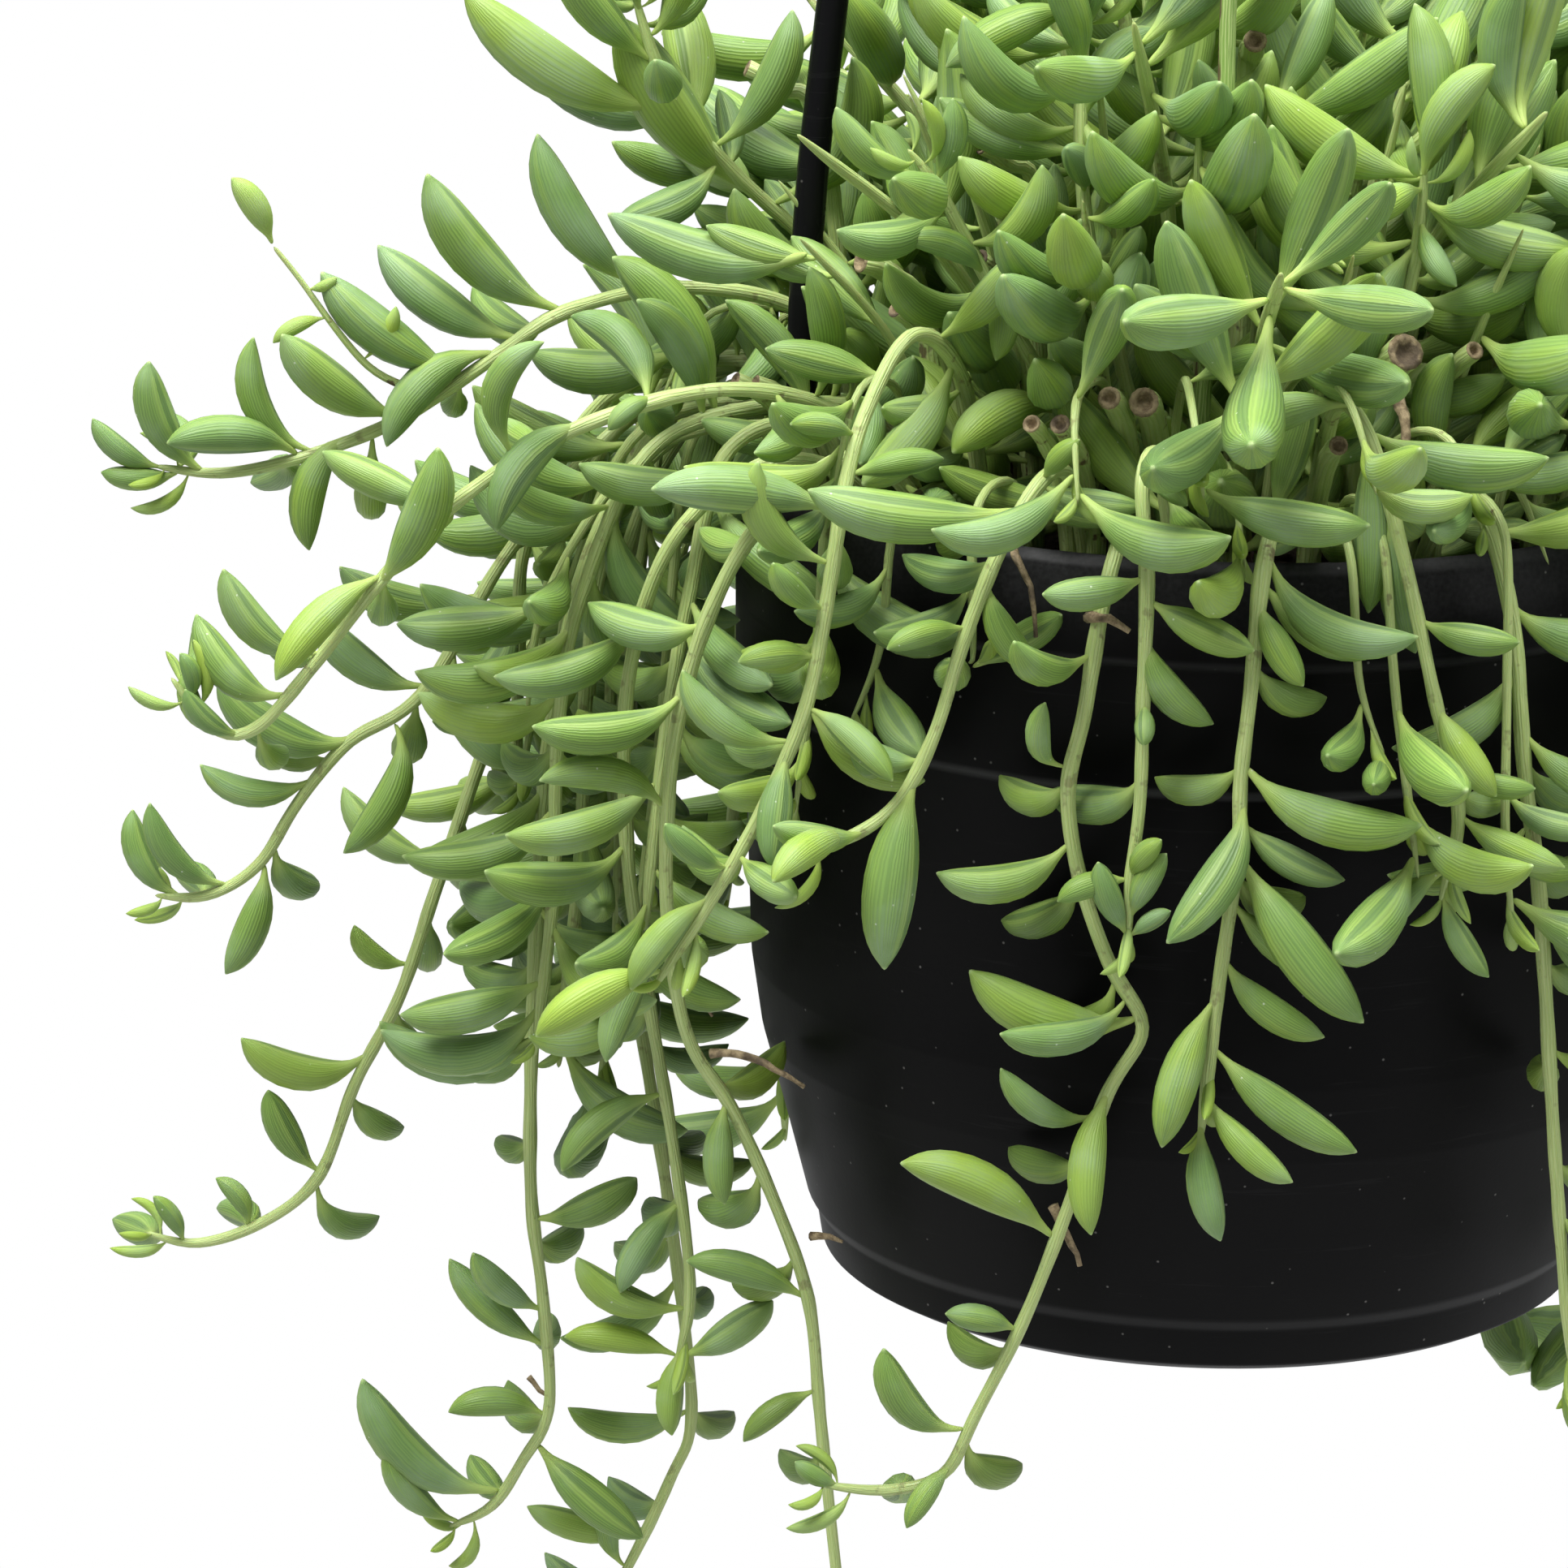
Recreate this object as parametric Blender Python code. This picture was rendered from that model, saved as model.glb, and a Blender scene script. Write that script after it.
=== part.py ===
"""Potted string of bananas in a hanging plastic pot, modelled in metres with +Z up.

The origin is where the hook bears on its rail. Plant and pot are laid out in millimetres from the
centre of the pot's base: +X to the viewer's right, -Y towards the viewer.
"""

import math
import random

import bmesh
import bpy
import numpy as np
from mathutils import Matrix, Vector

MM = 0.001
HOOK_HEIGHT = 500.0  # bearing point of the hook above the pot's base
GAP = 0.3  # room between pieces that touch

POT_SIDES = 26
WALL = 1.6
RIM_TOP = 127.0
RIM_RADIUS = 71.6
FLOOR_TOP = 4.0
# Outside of the pot from foot to rim: (radius, height)
POT_OUTSIDE = (
    (56.0, 0.0), (58.9, 1.6), (59.9, 7.4), (61.4, 9.6), (65.4, 24.5), (68.8, 36.5), (70.6, 48.0),
    (72.5, 92.2), (73.6, 93.0), (73.9, 111.4), (75.3, 112.2), (74.4, 119.0), (72.9, 125.4),
)
# Inside of the pot from rim to floor
POT_INSIDE = (
    (70.2, 126.0), (69.8, 112.0), (69.0, 48.0), (66.0, 32.0), (59.4, 9.6), (57.2, FLOOR_TOP),
)
FOOT_INNER_RADIUS = 50.0
FLOOR_UNDER = 2.0
DRAIN_COUNT = 6
DRAIN_CIRCLE = 38.0
DRAIN_RADIUS = 4.5

SOIL_TOP = 112.0
ROOT_DEPTH = 7.0
HOLE_ROOM = 1.6  # between a stem and the corners of its hole
HOLE_SIDES = 4
HOLE_DEEPER = 0.08  # how far a hole goes on below its stem, as a share of the stem's first step

ARM_AZIMUTHS = (-75.0, 105.0)
# Each arm from its button under the lug to the hub: (radius from the axis, height, thickness)
ARM_STATIONS = (
    (66.3, 114.6, 5.8), (66.3, 117.2, 6.2), (66.3, 117.3, 4.4), (66.3, 124.0, 4.4), (66.5, 145.0, 4.6),
    (65.6, 168.0, 4.7), (63.5, 190.0, 4.7), (57.6, 240.0, 4.7), (46.0, 305.0, 4.7), (31.0, 368.0, 4.8),
    (16.2, 418.0, 4.8), (8.5, 440.0, 4.8), (5.6, 449.4, 4.8),
)
ARM_SIDES = 8
LUG_RADIUS_IN = 61.5
LUG_HALF_WIDTH = 6.0
LUG_BOTTOM = 117.6
LUG_TOP = 121.0
LUG_HOLE_RADIUS = 2.6
HUB_RADIUS = 11.0
HUB_BOTTOM = 440.0
HUB_TOP = 454.0
HUB_SIDES = 16
SOCKET_ROOM = 0.35
HOOK_THICKNESS = 4.4
HOOK_MOUTH_RADIUS = 12.0
HOOK_SIDES = 8

SEED = 11
STEM_SIDES = 3
STEM_STEP = 16.0  # spacing of the rings of a stem
STEM_ROOT_RADIUS = 1.5
STEM_TIP_RADIUS = 0.8
TIP_SHARE = 0.15  # the last leaf grows this far before the end of the route
LEAF_RINGS = ((0.28, 1.08), (0.66, 1.12))  # (share of the length, share of the half width)
LEAF_SIDES = 3
LEAF_WIDTH_SHARE = 0.245  # thickness of a leaf as a share of its length
LEAF_SAG = 0.13  # how far a leaf of bow 1 stands off the line from its base to its tip
LEAF_PROBES = 13
LEAST_PROBE_RADIUS = 0.9
PROBE_SHARE = 1.15
GOLDEN_ANGLE = math.radians(137.5)

# Stems and upright shoots drawn from the picture. Each has its route from the soil to its tip, and its leaves as
# (place on the route, angle in the picture with 0 to the right and 90 up, length, lean towards the
# viewer, bow with the tip curling anticlockwise above 0). A place of 4.5 is halfway from point 4 to 5.
DRAWN_STEMS = {
    "stem_long_arch": (
        ((-42, -24, 105), (-46, -28, 124), (-58, -35, 139), (-76, -41, 144), (-98, -44, 138),
         (-115, -46, 127), (-125, -47, 116), (-134, -46, 104), (-143, -44, 93), (-149, -43, 92),
         (-156, -42, 100)),
        ((3.4, 209, 9, 20, 0.5), (3.8, 229, 22, 10, 0.7), (4.4, 76, 20, 15, -1.0), (5.0, 160, 21, -15, 0.0),
         (5.9, 222, 23, 25, 0.4), (6.1, 67, 25, 10, 0.4), (6.9, 137, 20, 10, -1.0), (7.4, 146, 19, -20, -1.0),
         (8.3, 137, 12, 15, -0.8), (8.9, 122, 11, -15, -0.8), (9.6, 100, 8, 10, 0.5)),
    ),
    "stem_left_upper": (
        ((-40, -10, 105), (-46, -10, 128), (-62, -10, 148), (-81, -16, 154), (-99, -20, 151), (-110, -22, 144),
         (-123, -22, 135), (-137, -22, 129), (-150, -22, 126), (-160, -22, 127)),
        ((3.3, 126, 29, 0, -0.5), (4.0, 134, 30, 8, -0.5), (4.6, 150, 26, -15, -0.5), (5.3, 143, 27, 5, -0.5),
         (6.0, 141, 24, 20, -0.4), (6.9, 118, 20, 0, -0.9), (7.1, 170, 21, 20, 0.5), (8.2, 114, 20, 10, -0.6),
         (8.6, 182, 12, 0, -0.4), (9.0, 145, 13, 0, -0.5), (4.9, 220, 22, 10, 0.8), (6.4, 245, 20, 0, 0.8)),
    ),
    "stem_left_middle": (
        ((-44, 8, 105), (-52, 10, 126), (-70, 12, 137), (-90, 8, 129), (-108, 0, 110), (-121, -8, 89),
         (-132, -10, 82), (-140, -10, 72), (-146, -10, 62), (-154, -10, 57), (-162, -10, 57)),
        ((3.5, 200, 24, 0, -0.8), (4.3, 165, 23, 15, -0.8), (4.9, 150, 22, -10, -0.8), (5.8, 158, 24, 10, -0.8),
         (6.6, 172, 18, 5, -0.9), (7.9, 252, 19, 5, -0.3), (8.5, 131, 19, 10, -0.8), (9.4, 121, 16, -10, -0.8),
         (4.6, 300, 22, 20, 0.8), (5.4, 250, 22, 15, -0.8)),
    ),
    "stem_left_lower": (
        ((-40, 25, 105), (-50, 29, 126), (-70, 32, 134), (-89, 33, 119), (-107, 22, 88), (-119, 8, 56),
         (-125, 2, 38), (-132, 0, 24), (-138, 0, 8), (-148, 0, 0), (-158, 0, -3), (-165, 0, -1)),
        ((3.3, 190, 25, 0, -0.8), (3.9, 160, 24, 20, -0.8), (4.4, 335, 22, 20, 0.8), (4.9, 150, 20, -15, -0.9),
         (5.7, 145, 11, 0, -0.8), (6.6, 172, 21, 10, -1.0), (7.9, 119, 17, 10, -0.4), (9.1, 120, 10, 0, 0.9),
         (10.1, 119, 10, 10, 0.3)),
    ),
    "stem_low_left": (
        ((-50, -5, 105), (-58, -6, 126), (-75, -9, 134), (-92, -14, 121), (-100, -18, 95), (-103, -18, 60),
         (-104, -16, 16), (-102, -14, -6), (-101, -12, -25), (-105, -10, -34), (-110, -8, -43),
         (-117, -7, -47)),
        ((3.6, 170, 25, 20, -0.8), (4.5, 210, 24, 10, -0.8), (5.0, 350, 23, 25, 0.8), (5.5, 170, 24, 10, -0.9),
         (6.3, 30, 20, 20, 0.5), (7.1, 133, 17, 20, -0.3), (7.4, 138, 21, -5, -0.3), (8.1, 175, 16, 10, 0.5),
         (8.6, 320, 23, 10, 0.2), (9.6, 139, 30, 5, -0.9), (10.7, 130, 19, 15, -0.5)),
    ),
    "stem_low_middle": (
        ((-48, -34, 105), (-54, -38, 127), (-67, -42, 134), (-82, -43, 123), (-89, -39, 100),
         (-89, -35, 72), (-86, -32, 50), (-82, -30, 26), (-79, -30, 2), (-81, -30, -11)),
        ((3.6, 200, 24, 15, -0.8), (4.3, 350, 22, 25, 0.8), (4.9, 185, 24, 5, -0.9), (5.5, 330, 20, 20, 0.8),
         (6.0, 196, 20, 10, -0.8), (6.7, 215, 20, 20, 0.6), (7.4, 236, 17, 15, 0.2), (8.2, 151, 20, 10, -0.8),
         (8.7, 265, 14, 15, 0.2), (9.0, 171, 18, 0, 0.3), (9.0, 38, 19, 15, 0.2)),
    ),
    "stem_low_right": (
        ((-44, -44, 105), (-46, -46, 126), (-57, -53, 137), (-72, -57, 125), (-81, -53, 100), (-83, -49, 72),
         (-80, -45, 48), (-73, -42, 35), (-66, -41, 19), (-61, -40, 4), (-59, -40, -14), (-57, -40, -32),
         (-55, -40, -48), (-53, -40, -60)),
        ((3.9, 190, 24, 20, -0.8), (4.6, 160, 22, 25, 0.6), (5.4, 240, 20, 25, 0.5), (6.9, 270, 16, 15, 0.2),
         (9.0, 161, 20, 5, 0.3), (9.8, 215, 14, 10, 0.3), (11.0, 330, 21, 20, 0.6), (11.4, 156, 25, 10, -0.8),
         (12.1, 146, 18, 10, -0.3), (12.8, 20, 17, 0, 0.5)),
    ),
    "stem_low_back": (
        ((-54, 13, 105), (-58, 13, 126), (-75, 13, 133), (-89, 14, 112), (-93, 13, 80), (-89, 10, 40),
         (-83, 7, 2), (-79, 5, -31), (-82, 4, -42), (-88, 4, -56), (-92, 4, -64)),
        ((3.4, 30, 22, -20, 0.8), (4.2, 190, 24, 0, -0.8), (5.0, 200, 24, 10, -0.8), (5.7, 340, 18, 0, 0.8),
         (6.3, 210, 22, 0, -0.8), (7.0, 180, 20, 0, -0.8), (8.6, 171, 20, 0, -0.5), (9.2, 100, 15, 10, -0.5),
         (9.8, 230, 17, 0, -0.5)),
    ),
    "stem_front_left": (
        ((-36, -38, 105), (-38, -44, 130), (-42, -53, 150), (-49, -63, 157), (-55, -70, 148), (-58, -75, 138),
         (-60, -78, 124), (-63, -80, 107), (-69, -80, 92), (-74, -80, 82), (-84, -79, 65)),
        ((4.4, 165, 11, 25, 0.3), (4.9, 10, 14, -5, 0.0), (5.3, 169, 29, 20, 0.2), (5.8, 123, 20, 15, -0.8),
         (6.2, 132, 13, 30, -0.3), (6.6, 178, 12, 20, 0.3), (7.0, 325, 17, 15, -0.2), (7.3, 147, 19, 0, -0.9),
         (7.4, 262, 17, 10, 0.2), (8.7, 0, 17, 20, 0.2), (8.9, 140, 13, 20, -0.4), (9.2, 229, 18, 10, 0.3),
         (9.9, 205, 21, 15, 0.3)),
    ),
    "stem_front_leaning": (
        ((-22, -50, 105), (-24, -58, 128), (-27, -69, 139), (-31, -77, 139), (-36, -80, 131), (-41, -82, 118),
         (-45, -83, 104), (-50, -83, 94), (-57, -84, 89), (-66, -83, 86)),
        ((2.9, 55, 10, 30, 0.0), (3.0, 350, 15, 5, 0.4), (3.5, 173, 31, 10, -0.5), (4.9, 190, 13, 25, 0.3),
         (6.5, 262, 29, 5, 0.1), (7.6, 168, 17, -5, -0.4), (7.9, 192, 20, 15, 0.3), (4.4, 300, 15, 0, 0.5)),
    ),
    "stem_front_long": (
        ((-14, -54, 105), (-16, -63, 127), (-19, -74, 131), (-22, -81, 122), (-24, -82, 107), (-26, -81, 96),
         (-24, -80, 83), (-19, -79, 69), (-14, -78, 60), (-19, -78, 50), (-24, -78, 33), (-30, -77, 15),
         (-37, -76, -1), (-41, -75, -10), (-50, -74, -13), (-60, -74, -12)),
        ((3.4, 158, 18, 5, -0.8), (4.7, 110, 12, 20, -1.0), (5.6, 193, 20, 5, -0.9), (7.4, 190, 21, 25, -0.8),
         (7.8, 165, 26, 0, -0.7), (8.9, 263, 22, 20, 0.3), (9.2, 155, 16, 0, -1.0), (10.3, 151, 27, 10, 0.3),
         (11.1, 162, 12, 15, 0.2), (12.1, 133, 19, 10, -1.0), (12.7, 232, 12, 20, 0.2), (14.6, 150, 8, 0, 0.0)),
    ),
    "stem_front_straight": (
        ((-10, -58, 105), (-12, -67, 131), (-15, -77, 144), (-17, -83, 141), (-16, -85, 128), (-16, -85, 110),
         (-16, -85, 95), (-17, -85, 84), (-17, -85, 74)),
        ((2.9, 330, 8, 25, 0.0), (4.0, 186, 16, 20, -0.2), (4.2, 338, 17, 15, 0.2), (4.4, 305, 18, -5, 0.8),
         (5.0, 270, 7, 40, 0.0), (7.0, 196, 11, 10, 0.3), (7.0, 60, 9, 25, -0.2), (7.6, 65, 12, 10, 0.0),
         (8.0, 112, 13, 10, 0.0), (8.0, 40, 8, 20, 0.0)),
    ),
    "stem_front_full": (
        ((2, -56, 105), (2, -65, 127), (2, -76, 134), (0, -83, 127), (-1, -85, 112), (-2, -85, 99), (-2, -85, 88),
         (-4, -85, 69), (-6, -85, 45)),
        ((2.6, 335, 25, 20, 0.9), (3.0, 332, 21, -5, 0.6), (3.2, 300, 14, 25, 0.2), (4.8, 344, 27, 10, 0.8),
         (5.2, 242, 24, 10, -0.6), (5.6, 330, 18, -5, 0.5), (6.0, 309, 30, 15, 0.1), (6.4, 324, 20, -5, 0.3),
         (6.8, 322, 19, 5, 0.5), (7.1, 250, 23, 15, 0.2), (7.4, 326, 26, 10, 0.2), (7.7, 320, 18, 25, 0.3),
         (8.0, 280, 18, 10, 0.2)),
    ),
    "stem_front_right": (
        ((8, -50, 105), (9, -58, 132), (11, -68, 149), (15, -76, 146), (20, -81, 130), (25, -83, 110),
         (29, -83, 94), (27, -82, 80)),
        ((2.5, 195, 22, 15, 0.4), (2.9, 355, 26, 10, 0.5), (2.9, 272, 26, 20, 0.0), (3.6, 282, 23, 5, 0.1),
         (4.4, 350, 15, 15, 0.4), (5.0, 305, 16, 15, 0.2), (5.6, 350, 12, 5, 0.2), (6.0, 335, 17, 10, 0.3),
         (6.6, 225, 18, 5, 0.3), (7.0, 300, 14, 10, 0.3)),
    ),
    "stem_right_thin": (
        ((22, -50, 105), (26, -58, 128), (31, -66, 135), (36, -74, 121), (39, -75, 97), (42, -74, 79),
         (46, -72, 42), (49, -71, 17), (51, -71, 4)),
        ((2.4, 20, 25, 15, 0.5), (2.9, 345, 24, 0, 0.6), (3.3, 215, 22, 20, -0.7), (3.7, 340, 22, 10, 0.8),
         (4.4, 200, 22, 15, -0.7), (5.0, 320, 20, 5, 0.5), (5.6, 350, 14, 0, 0.6), (6.4, 330, 12, 10, 0.4),
         (7.0, 70, 12, 15, 0.3), (7.7, 280, 12, 10, 0.2)),
    ),
    "shoot_high_left": (
        ((-28, -4, 105), (-42, -3, 132), (-60, -3, 155), (-75, -8, 170), (-84, -14, 182), (-88, -16, 192),
         (-90, -16, 199)),
        ((1.9, 137, 24, 20, -0.6), (2.8, 126, 34, 12, -0.3), (3.3, 60, 24, -10, 0.6), (3.9, 152, 36, 0, -0.5),
         (4.5, 130, 24, 15, -0.2), (4.9, 70, 18, 0, 0.5), (5.3, 110, 15, 10, 0.2), (5.7, 50, 13, 0, 0.4)),
    ),
    "shoot_sprout": (
        ((-18, -40, 105), (-24, -44, 128), (-28, -48, 144), (-36, -52, 159), (-41, -52, 168), (-46, -53, 177),
         (-50, -54, 182)),
        ((1.9, 190, 22, 20, 0.6), (2.3, 330, 20, 15, 0.5), (2.9, 55, 18, 5, 0.4), (3.4, 153, 15, 20, 0.6),
         (3.6, 280, 14, 25, -0.6), (4.4, 200, 10, 5, 0.8), (5.0, 80, 13, 10, 0.3), (5.2, 143, 17, 10, -0.8)),
    ),
    "shoot_upright": (
        ((-10, -36, 105), (-14, -40, 130), (-19, -45, 152), (-22, -46, 161), (-24, -45, 170), (-25, -43, 181),
         (-25, -41, 193), (-24, -40, 203)),
        ((2.6, 125, 22, 20, -0.5), (3.0, 60, 12, 20, 0.3), (4.0, 60, 17, 5, 0.4), (4.4, 110, 14, 50, 0.3),
         (4.9, 160, 22, -5, -0.4), (5.2, 52, 18, 0, -0.5), (5.4, 320, 18, 20, 0.5), (5.8, 110, 20, 15, 0.3),
         (6.2, 70, 20, 10, -0.3), (6.6, 200, 22, 10, 0.5)),
    ),
    "shoot_rosette": (
        ((14, -34, 105), (16, -42, 130), (19, -50, 150), (22, -54, 165), (23, -55, 175), (23, -55, 182)),
        ((2.4, 160, 22, 15, -0.5), (2.8, 20, 24, 5, 0.6), (3.4, 250, 20, 5, 0.3), (3.8, 300, 12, 35, 0.3),
         (4.2, 343, 24, 5, 0.6), (4.3, 200, 13, 45, 0.3), (4.5, 62, 20, 10, -0.4), (4.6, 150, 27, 5, -0.4),
         (4.7, 95, 24, -10, 0.3), (4.8, 75, 24, -25, 0.0)),
    ),
}

# Stems that follow the rule for trailing stems: (angle round the pot from the front, root radius,
# reach past the rim, height of the tip)
LEFT_MASS = (
    (-63, 64, 92, 62), (-70, 34, 104, 40), (-88, 64, 96, 30), (-95, 34, 108, 52), (-108, 64, 94, 22),
    (-122, 36, 108, 44), (-130, 60, 92, 34), (-139, 56, 98, -12),
)
BACK_COUNT = 15
BACK_FROM = 52.0
BACK_TO = 214.0
BACK_ROOT_RADII = (60.0, 52.0)
BACK_REACH = (85.0, 97.0)
BACK_TIP = (-45.0, 75.0)
TRAIL_SWAY = 5.0  # degrees to either side
TRAIL_CREST = (6.0, 10.0)  # height of the bend above the rim
TRAIL_DROP = 24.0  # height between two points of the route
TRAIL_FIRST_LEAF = 2.2  # place on the route
TRAIL_LEAF_STEP = 19.0
TRAIL_LEAF_LENGTH = (20.0, 29.0)
TRAIL_LEAF_RISE = 0.35  # how far a leaf turns from square to its stem towards the stem's tip

SHOOT_COUNT = 13
SHOOT_TURN = 3.45  # where the spiral of shoots begins
SHOOT_FIELD = 46.0  # radius of the patch of soil that the upright shoots grow from
SHOOT_SPREAD = 2.15  # how far out a shoot's tip stands, against its root
SHOOT_HEIGHTS = (168.0, 212.0)
SHOOT_LEAVES = 9
SHOOT_LEAF_PLACES = (0.9, 2.98)  # places of the first and the last leaf on the route
SHOOT_LEAF_LENGTH = (24.0, 32.0)
SHOOT_LEAF_RISE = 0.75


def on_circle(radius, azimuth, height):
    """The point at this radius and height, at an angle in degrees from the front."""
    turn = math.radians(azimuth)
    return Vector((radius * math.sin(turn), -radius * math.cos(turn), height))


def smooth_route(points, step):
    """Points about a step apart on the smooth curve through the route, each with its place on it."""
    points = [Vector(p) for p in points]
    padded = [2 * points[0] - points[1], *points, 2 * points[-1] - points[-2]]
    found = []
    for i in range(len(points) - 1):
        a, b, c, d = padded[i : i + 4]
        count = max(1, round((c - b).length / step))
        for k in range(count):
            found.append((i + k / count, spline_point(a, b, c, d, k / count)))
    found.append((float(len(points) - 1), points[-1]))
    return found


def spline_point(a, b, c, d, t):
    return 0.5 * (2 * b + (c - a) * t + (2 * a - 5 * b + 4 * c - d) * t**2 + (3 * b - a - 3 * c + d) * t**3)


def route_point(points, place):
    """The point at this place in the middle of the stem's solid, and the stem's direction there."""
    place = min(place, len(points) - 1 - TIP_SHARE)
    rings = smooth_route(points, STEM_STEP)
    low, a, high, b = next((*one, *two) for one, two in zip(rings, rings[1:]) if place <= two[0])
    return a.lerp(b, (place - low) / (high - low)), (b - a).normalized()


def trailing_route(azimuth, root_radius, reach, tip_height, rng):
    """From the soil over the rim, down outside the pot and on to the tip."""
    sway = rng.uniform(-TRAIL_SWAY, TRAIL_SWAY)
    crest = RIM_TOP + rng.uniform(*TRAIL_CREST)
    route = [
        on_circle(root_radius, azimuth, SOIL_TOP - ROOT_DEPTH),
        on_circle(root_radius + 1, azimuth, SOIL_TOP + 12),
        on_circle(0.45 * root_radius + 40, azimuth, crest),
        on_circle(0.4 * reach + 47, azimuth + 0.2 * sway, crest - 2),
        on_circle(reach - 2, azimuth + 0.5 * sway, RIM_TOP - 16),
    ]
    height = RIM_TOP - 38
    while height > tip_height + 12:
        share = (RIM_TOP - height) / RIM_TOP
        route.append(on_circle(reach + 3 * share, azimuth + sway * (0.5 + math.sin(4 * share)), height))
        height -= TRAIL_DROP
    last = route[-1]
    route.append(on_circle(last.xy.length + 3, azimuth + sway, tip_height))
    return tuple(route)


def shoot_route(index):
    """From the soil up and outwards, the outer shoots lower and further out."""
    share = math.sqrt((index + 0.5) / SHOOT_COUNT)
    turn = index * GOLDEN_ANGLE + SHOOT_TURN
    out = Vector((math.cos(turn), math.sin(turn), 0))
    low, high = SHOOT_HEIGHTS
    top = high + (low - high) * share**2
    root = SHOOT_FIELD * share
    height = top - SOIL_TOP
    return (
        out * root + Vector((0, 0, SOIL_TOP - ROOT_DEPTH)),
        out * (root + 2) + Vector((0, 0, SOIL_TOP + 0.3 * height)),
        out * (root * 1.35 + 3) + Vector((0, 0, SOIL_TOP + 0.68 * height)),
        out * (root * SHOOT_SPREAD + 3) + Vector((0, 0, top)),
    )


class Leaf:
    """A banana-shaped leaf: from base to tip along heading, standing off that line towards bulge."""

    def __init__(self, base, heading, bulge, length, bow):
        self.base = base
        self.heading = heading
        self.bulge = bulge
        self.length = length
        self.sag = abs(bow) * LEAF_SAG * length
        self.half_width = 0.5 * LEAF_WIDTH_SHARE * (length + 6)

    def axis(self, share):
        """The middle of the leaf at this share of its length."""
        off_line = 4 * self.sag * share * (1 - share)
        return self.base + self.heading * (share * self.length) + self.bulge * off_line

    def probes(self):
        """Balls that cover the leaf: rows of x, y, z and radius."""
        rows = []
        for i in range(LEAF_PROBES):
            share = i / (LEAF_PROBES - 1)
            width = PROBE_SHARE * self.half_width * min(1.0, 3.2 * share, 2.7 * (1 - share))
            rows.append((*self.axis(share), max(width, LEAST_PROBE_RADIUS)))
        return np.array(rows)

    def solid(self):
        """The leaf as a few-sided bmesh, its base a point inside the stem."""
        across = self.heading.cross(self.bulge).normalized()
        body = bmesh.new()
        root = body.verts.new(self.axis(0.0) * MM)
        rings = []
        for share, width in LEAF_RINGS:
            radius = width * self.half_width
            rings.append(ring_of_verts(body, self.axis(share), self.bulge, across, radius, LEAF_SIDES))
        tip = body.verts.new(self.axis(1.0) * MM)
        close_tube(body, rings, root, tip)
        return body


def drawn_leaf(route, place, angle, length, lean, bow):
    """A leaf as the picture shows it."""
    base, _ = route_point(route, place)
    turn = math.radians(angle)
    tilt = math.radians(lean)
    heading = Vector((math.cos(turn) * math.cos(tilt), -math.sin(tilt), math.sin(turn) * math.cos(tilt)))
    side = Vector((-math.sin(turn), 0, math.cos(turn))) * (-1 if bow > 0 else 1)
    return Leaf(base, heading, side, length, bow)


def grown_leaf(route, place, turn, length, rise, bow):
    """A leaf that stands off its stem at this turn round it and droops or rises with the stem."""
    base, along = route_point(route, place)
    first = along.orthogonal().normalized()
    second = along.cross(first)
    side = first * math.cos(turn) + second * math.sin(turn)
    heading = (side + along * rise).normalized()
    down = Vector((0, 0, -1)) if abs(along.z) > 0.35 and along.z < 0 else side
    bulge = down - heading * down.dot(heading)
    if bulge.length < 0.2:
        bulge = side.cross(heading)
    return Leaf(base, heading, bulge.normalized(), length, bow)


def ring_of_verts(body, centre, first, second, radius, sides):
    """A ring of vertices round a centre, in the plane of two unit vectors."""
    ring = []
    for k in range(sides):
        turn = math.tau * k / sides
        ring.append(body.verts.new((centre + (first * math.cos(turn) + second * math.sin(turn)) * radius) * MM))
    return ring


def close_tube(body, rings, start, end):
    """Faces between the rings and to the two end points, turned outwards."""
    sides = len(rings[0])
    for k in range(sides):
        after = (k + 1) % sides
        body.faces.new((start, rings[0][after], rings[0][k]))
        for low, high in zip(rings, rings[1:]):
            body.faces.new((low[k], low[after], high[after], high[k]))
        body.faces.new((rings[-1][k], rings[-1][after], end))
    bmesh.ops.recalc_face_normals(body, faces=body.faces[:])


def swept_tube(stations, sides):
    """A closed tube through stations of (point, radius), as a bmesh with flat ends."""
    body = bmesh.new()
    side = None
    rings = []
    for i, (point, radius) in enumerate(stations):
        before = stations[max(i - 1, 0)][0]
        after = stations[min(i + 1, len(stations) - 1)][0]
        along = (after - before).normalized()
        if side is None:
            side = along.orthogonal()
        side = (side - along * side.dot(along)).normalized()
        rings.append(ring_of_verts(body, point, side, along.cross(side), radius, sides))
    for low, high in zip(rings, rings[1:]):
        for k in range(sides):
            after = (k + 1) % sides
            body.faces.new((low[k], low[after], high[after], high[k]))
    body.faces.new(rings[0][::-1])
    body.faces.new(rings[-1])
    bmesh.ops.recalc_face_normals(body, faces=body.faces[:])
    return body


def stem_stations(route, step):
    """Points and radii along a stem, thinner towards its tip."""
    points = smooth_route(route, step)
    last = len(points) - 1
    stations = []
    for i, (_, point) in enumerate(points):
        share = i / last
        stations.append((point, STEM_ROOT_RADIUS + (STEM_TIP_RADIUS - STEM_ROOT_RADIUS) * share))
    return stations


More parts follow.
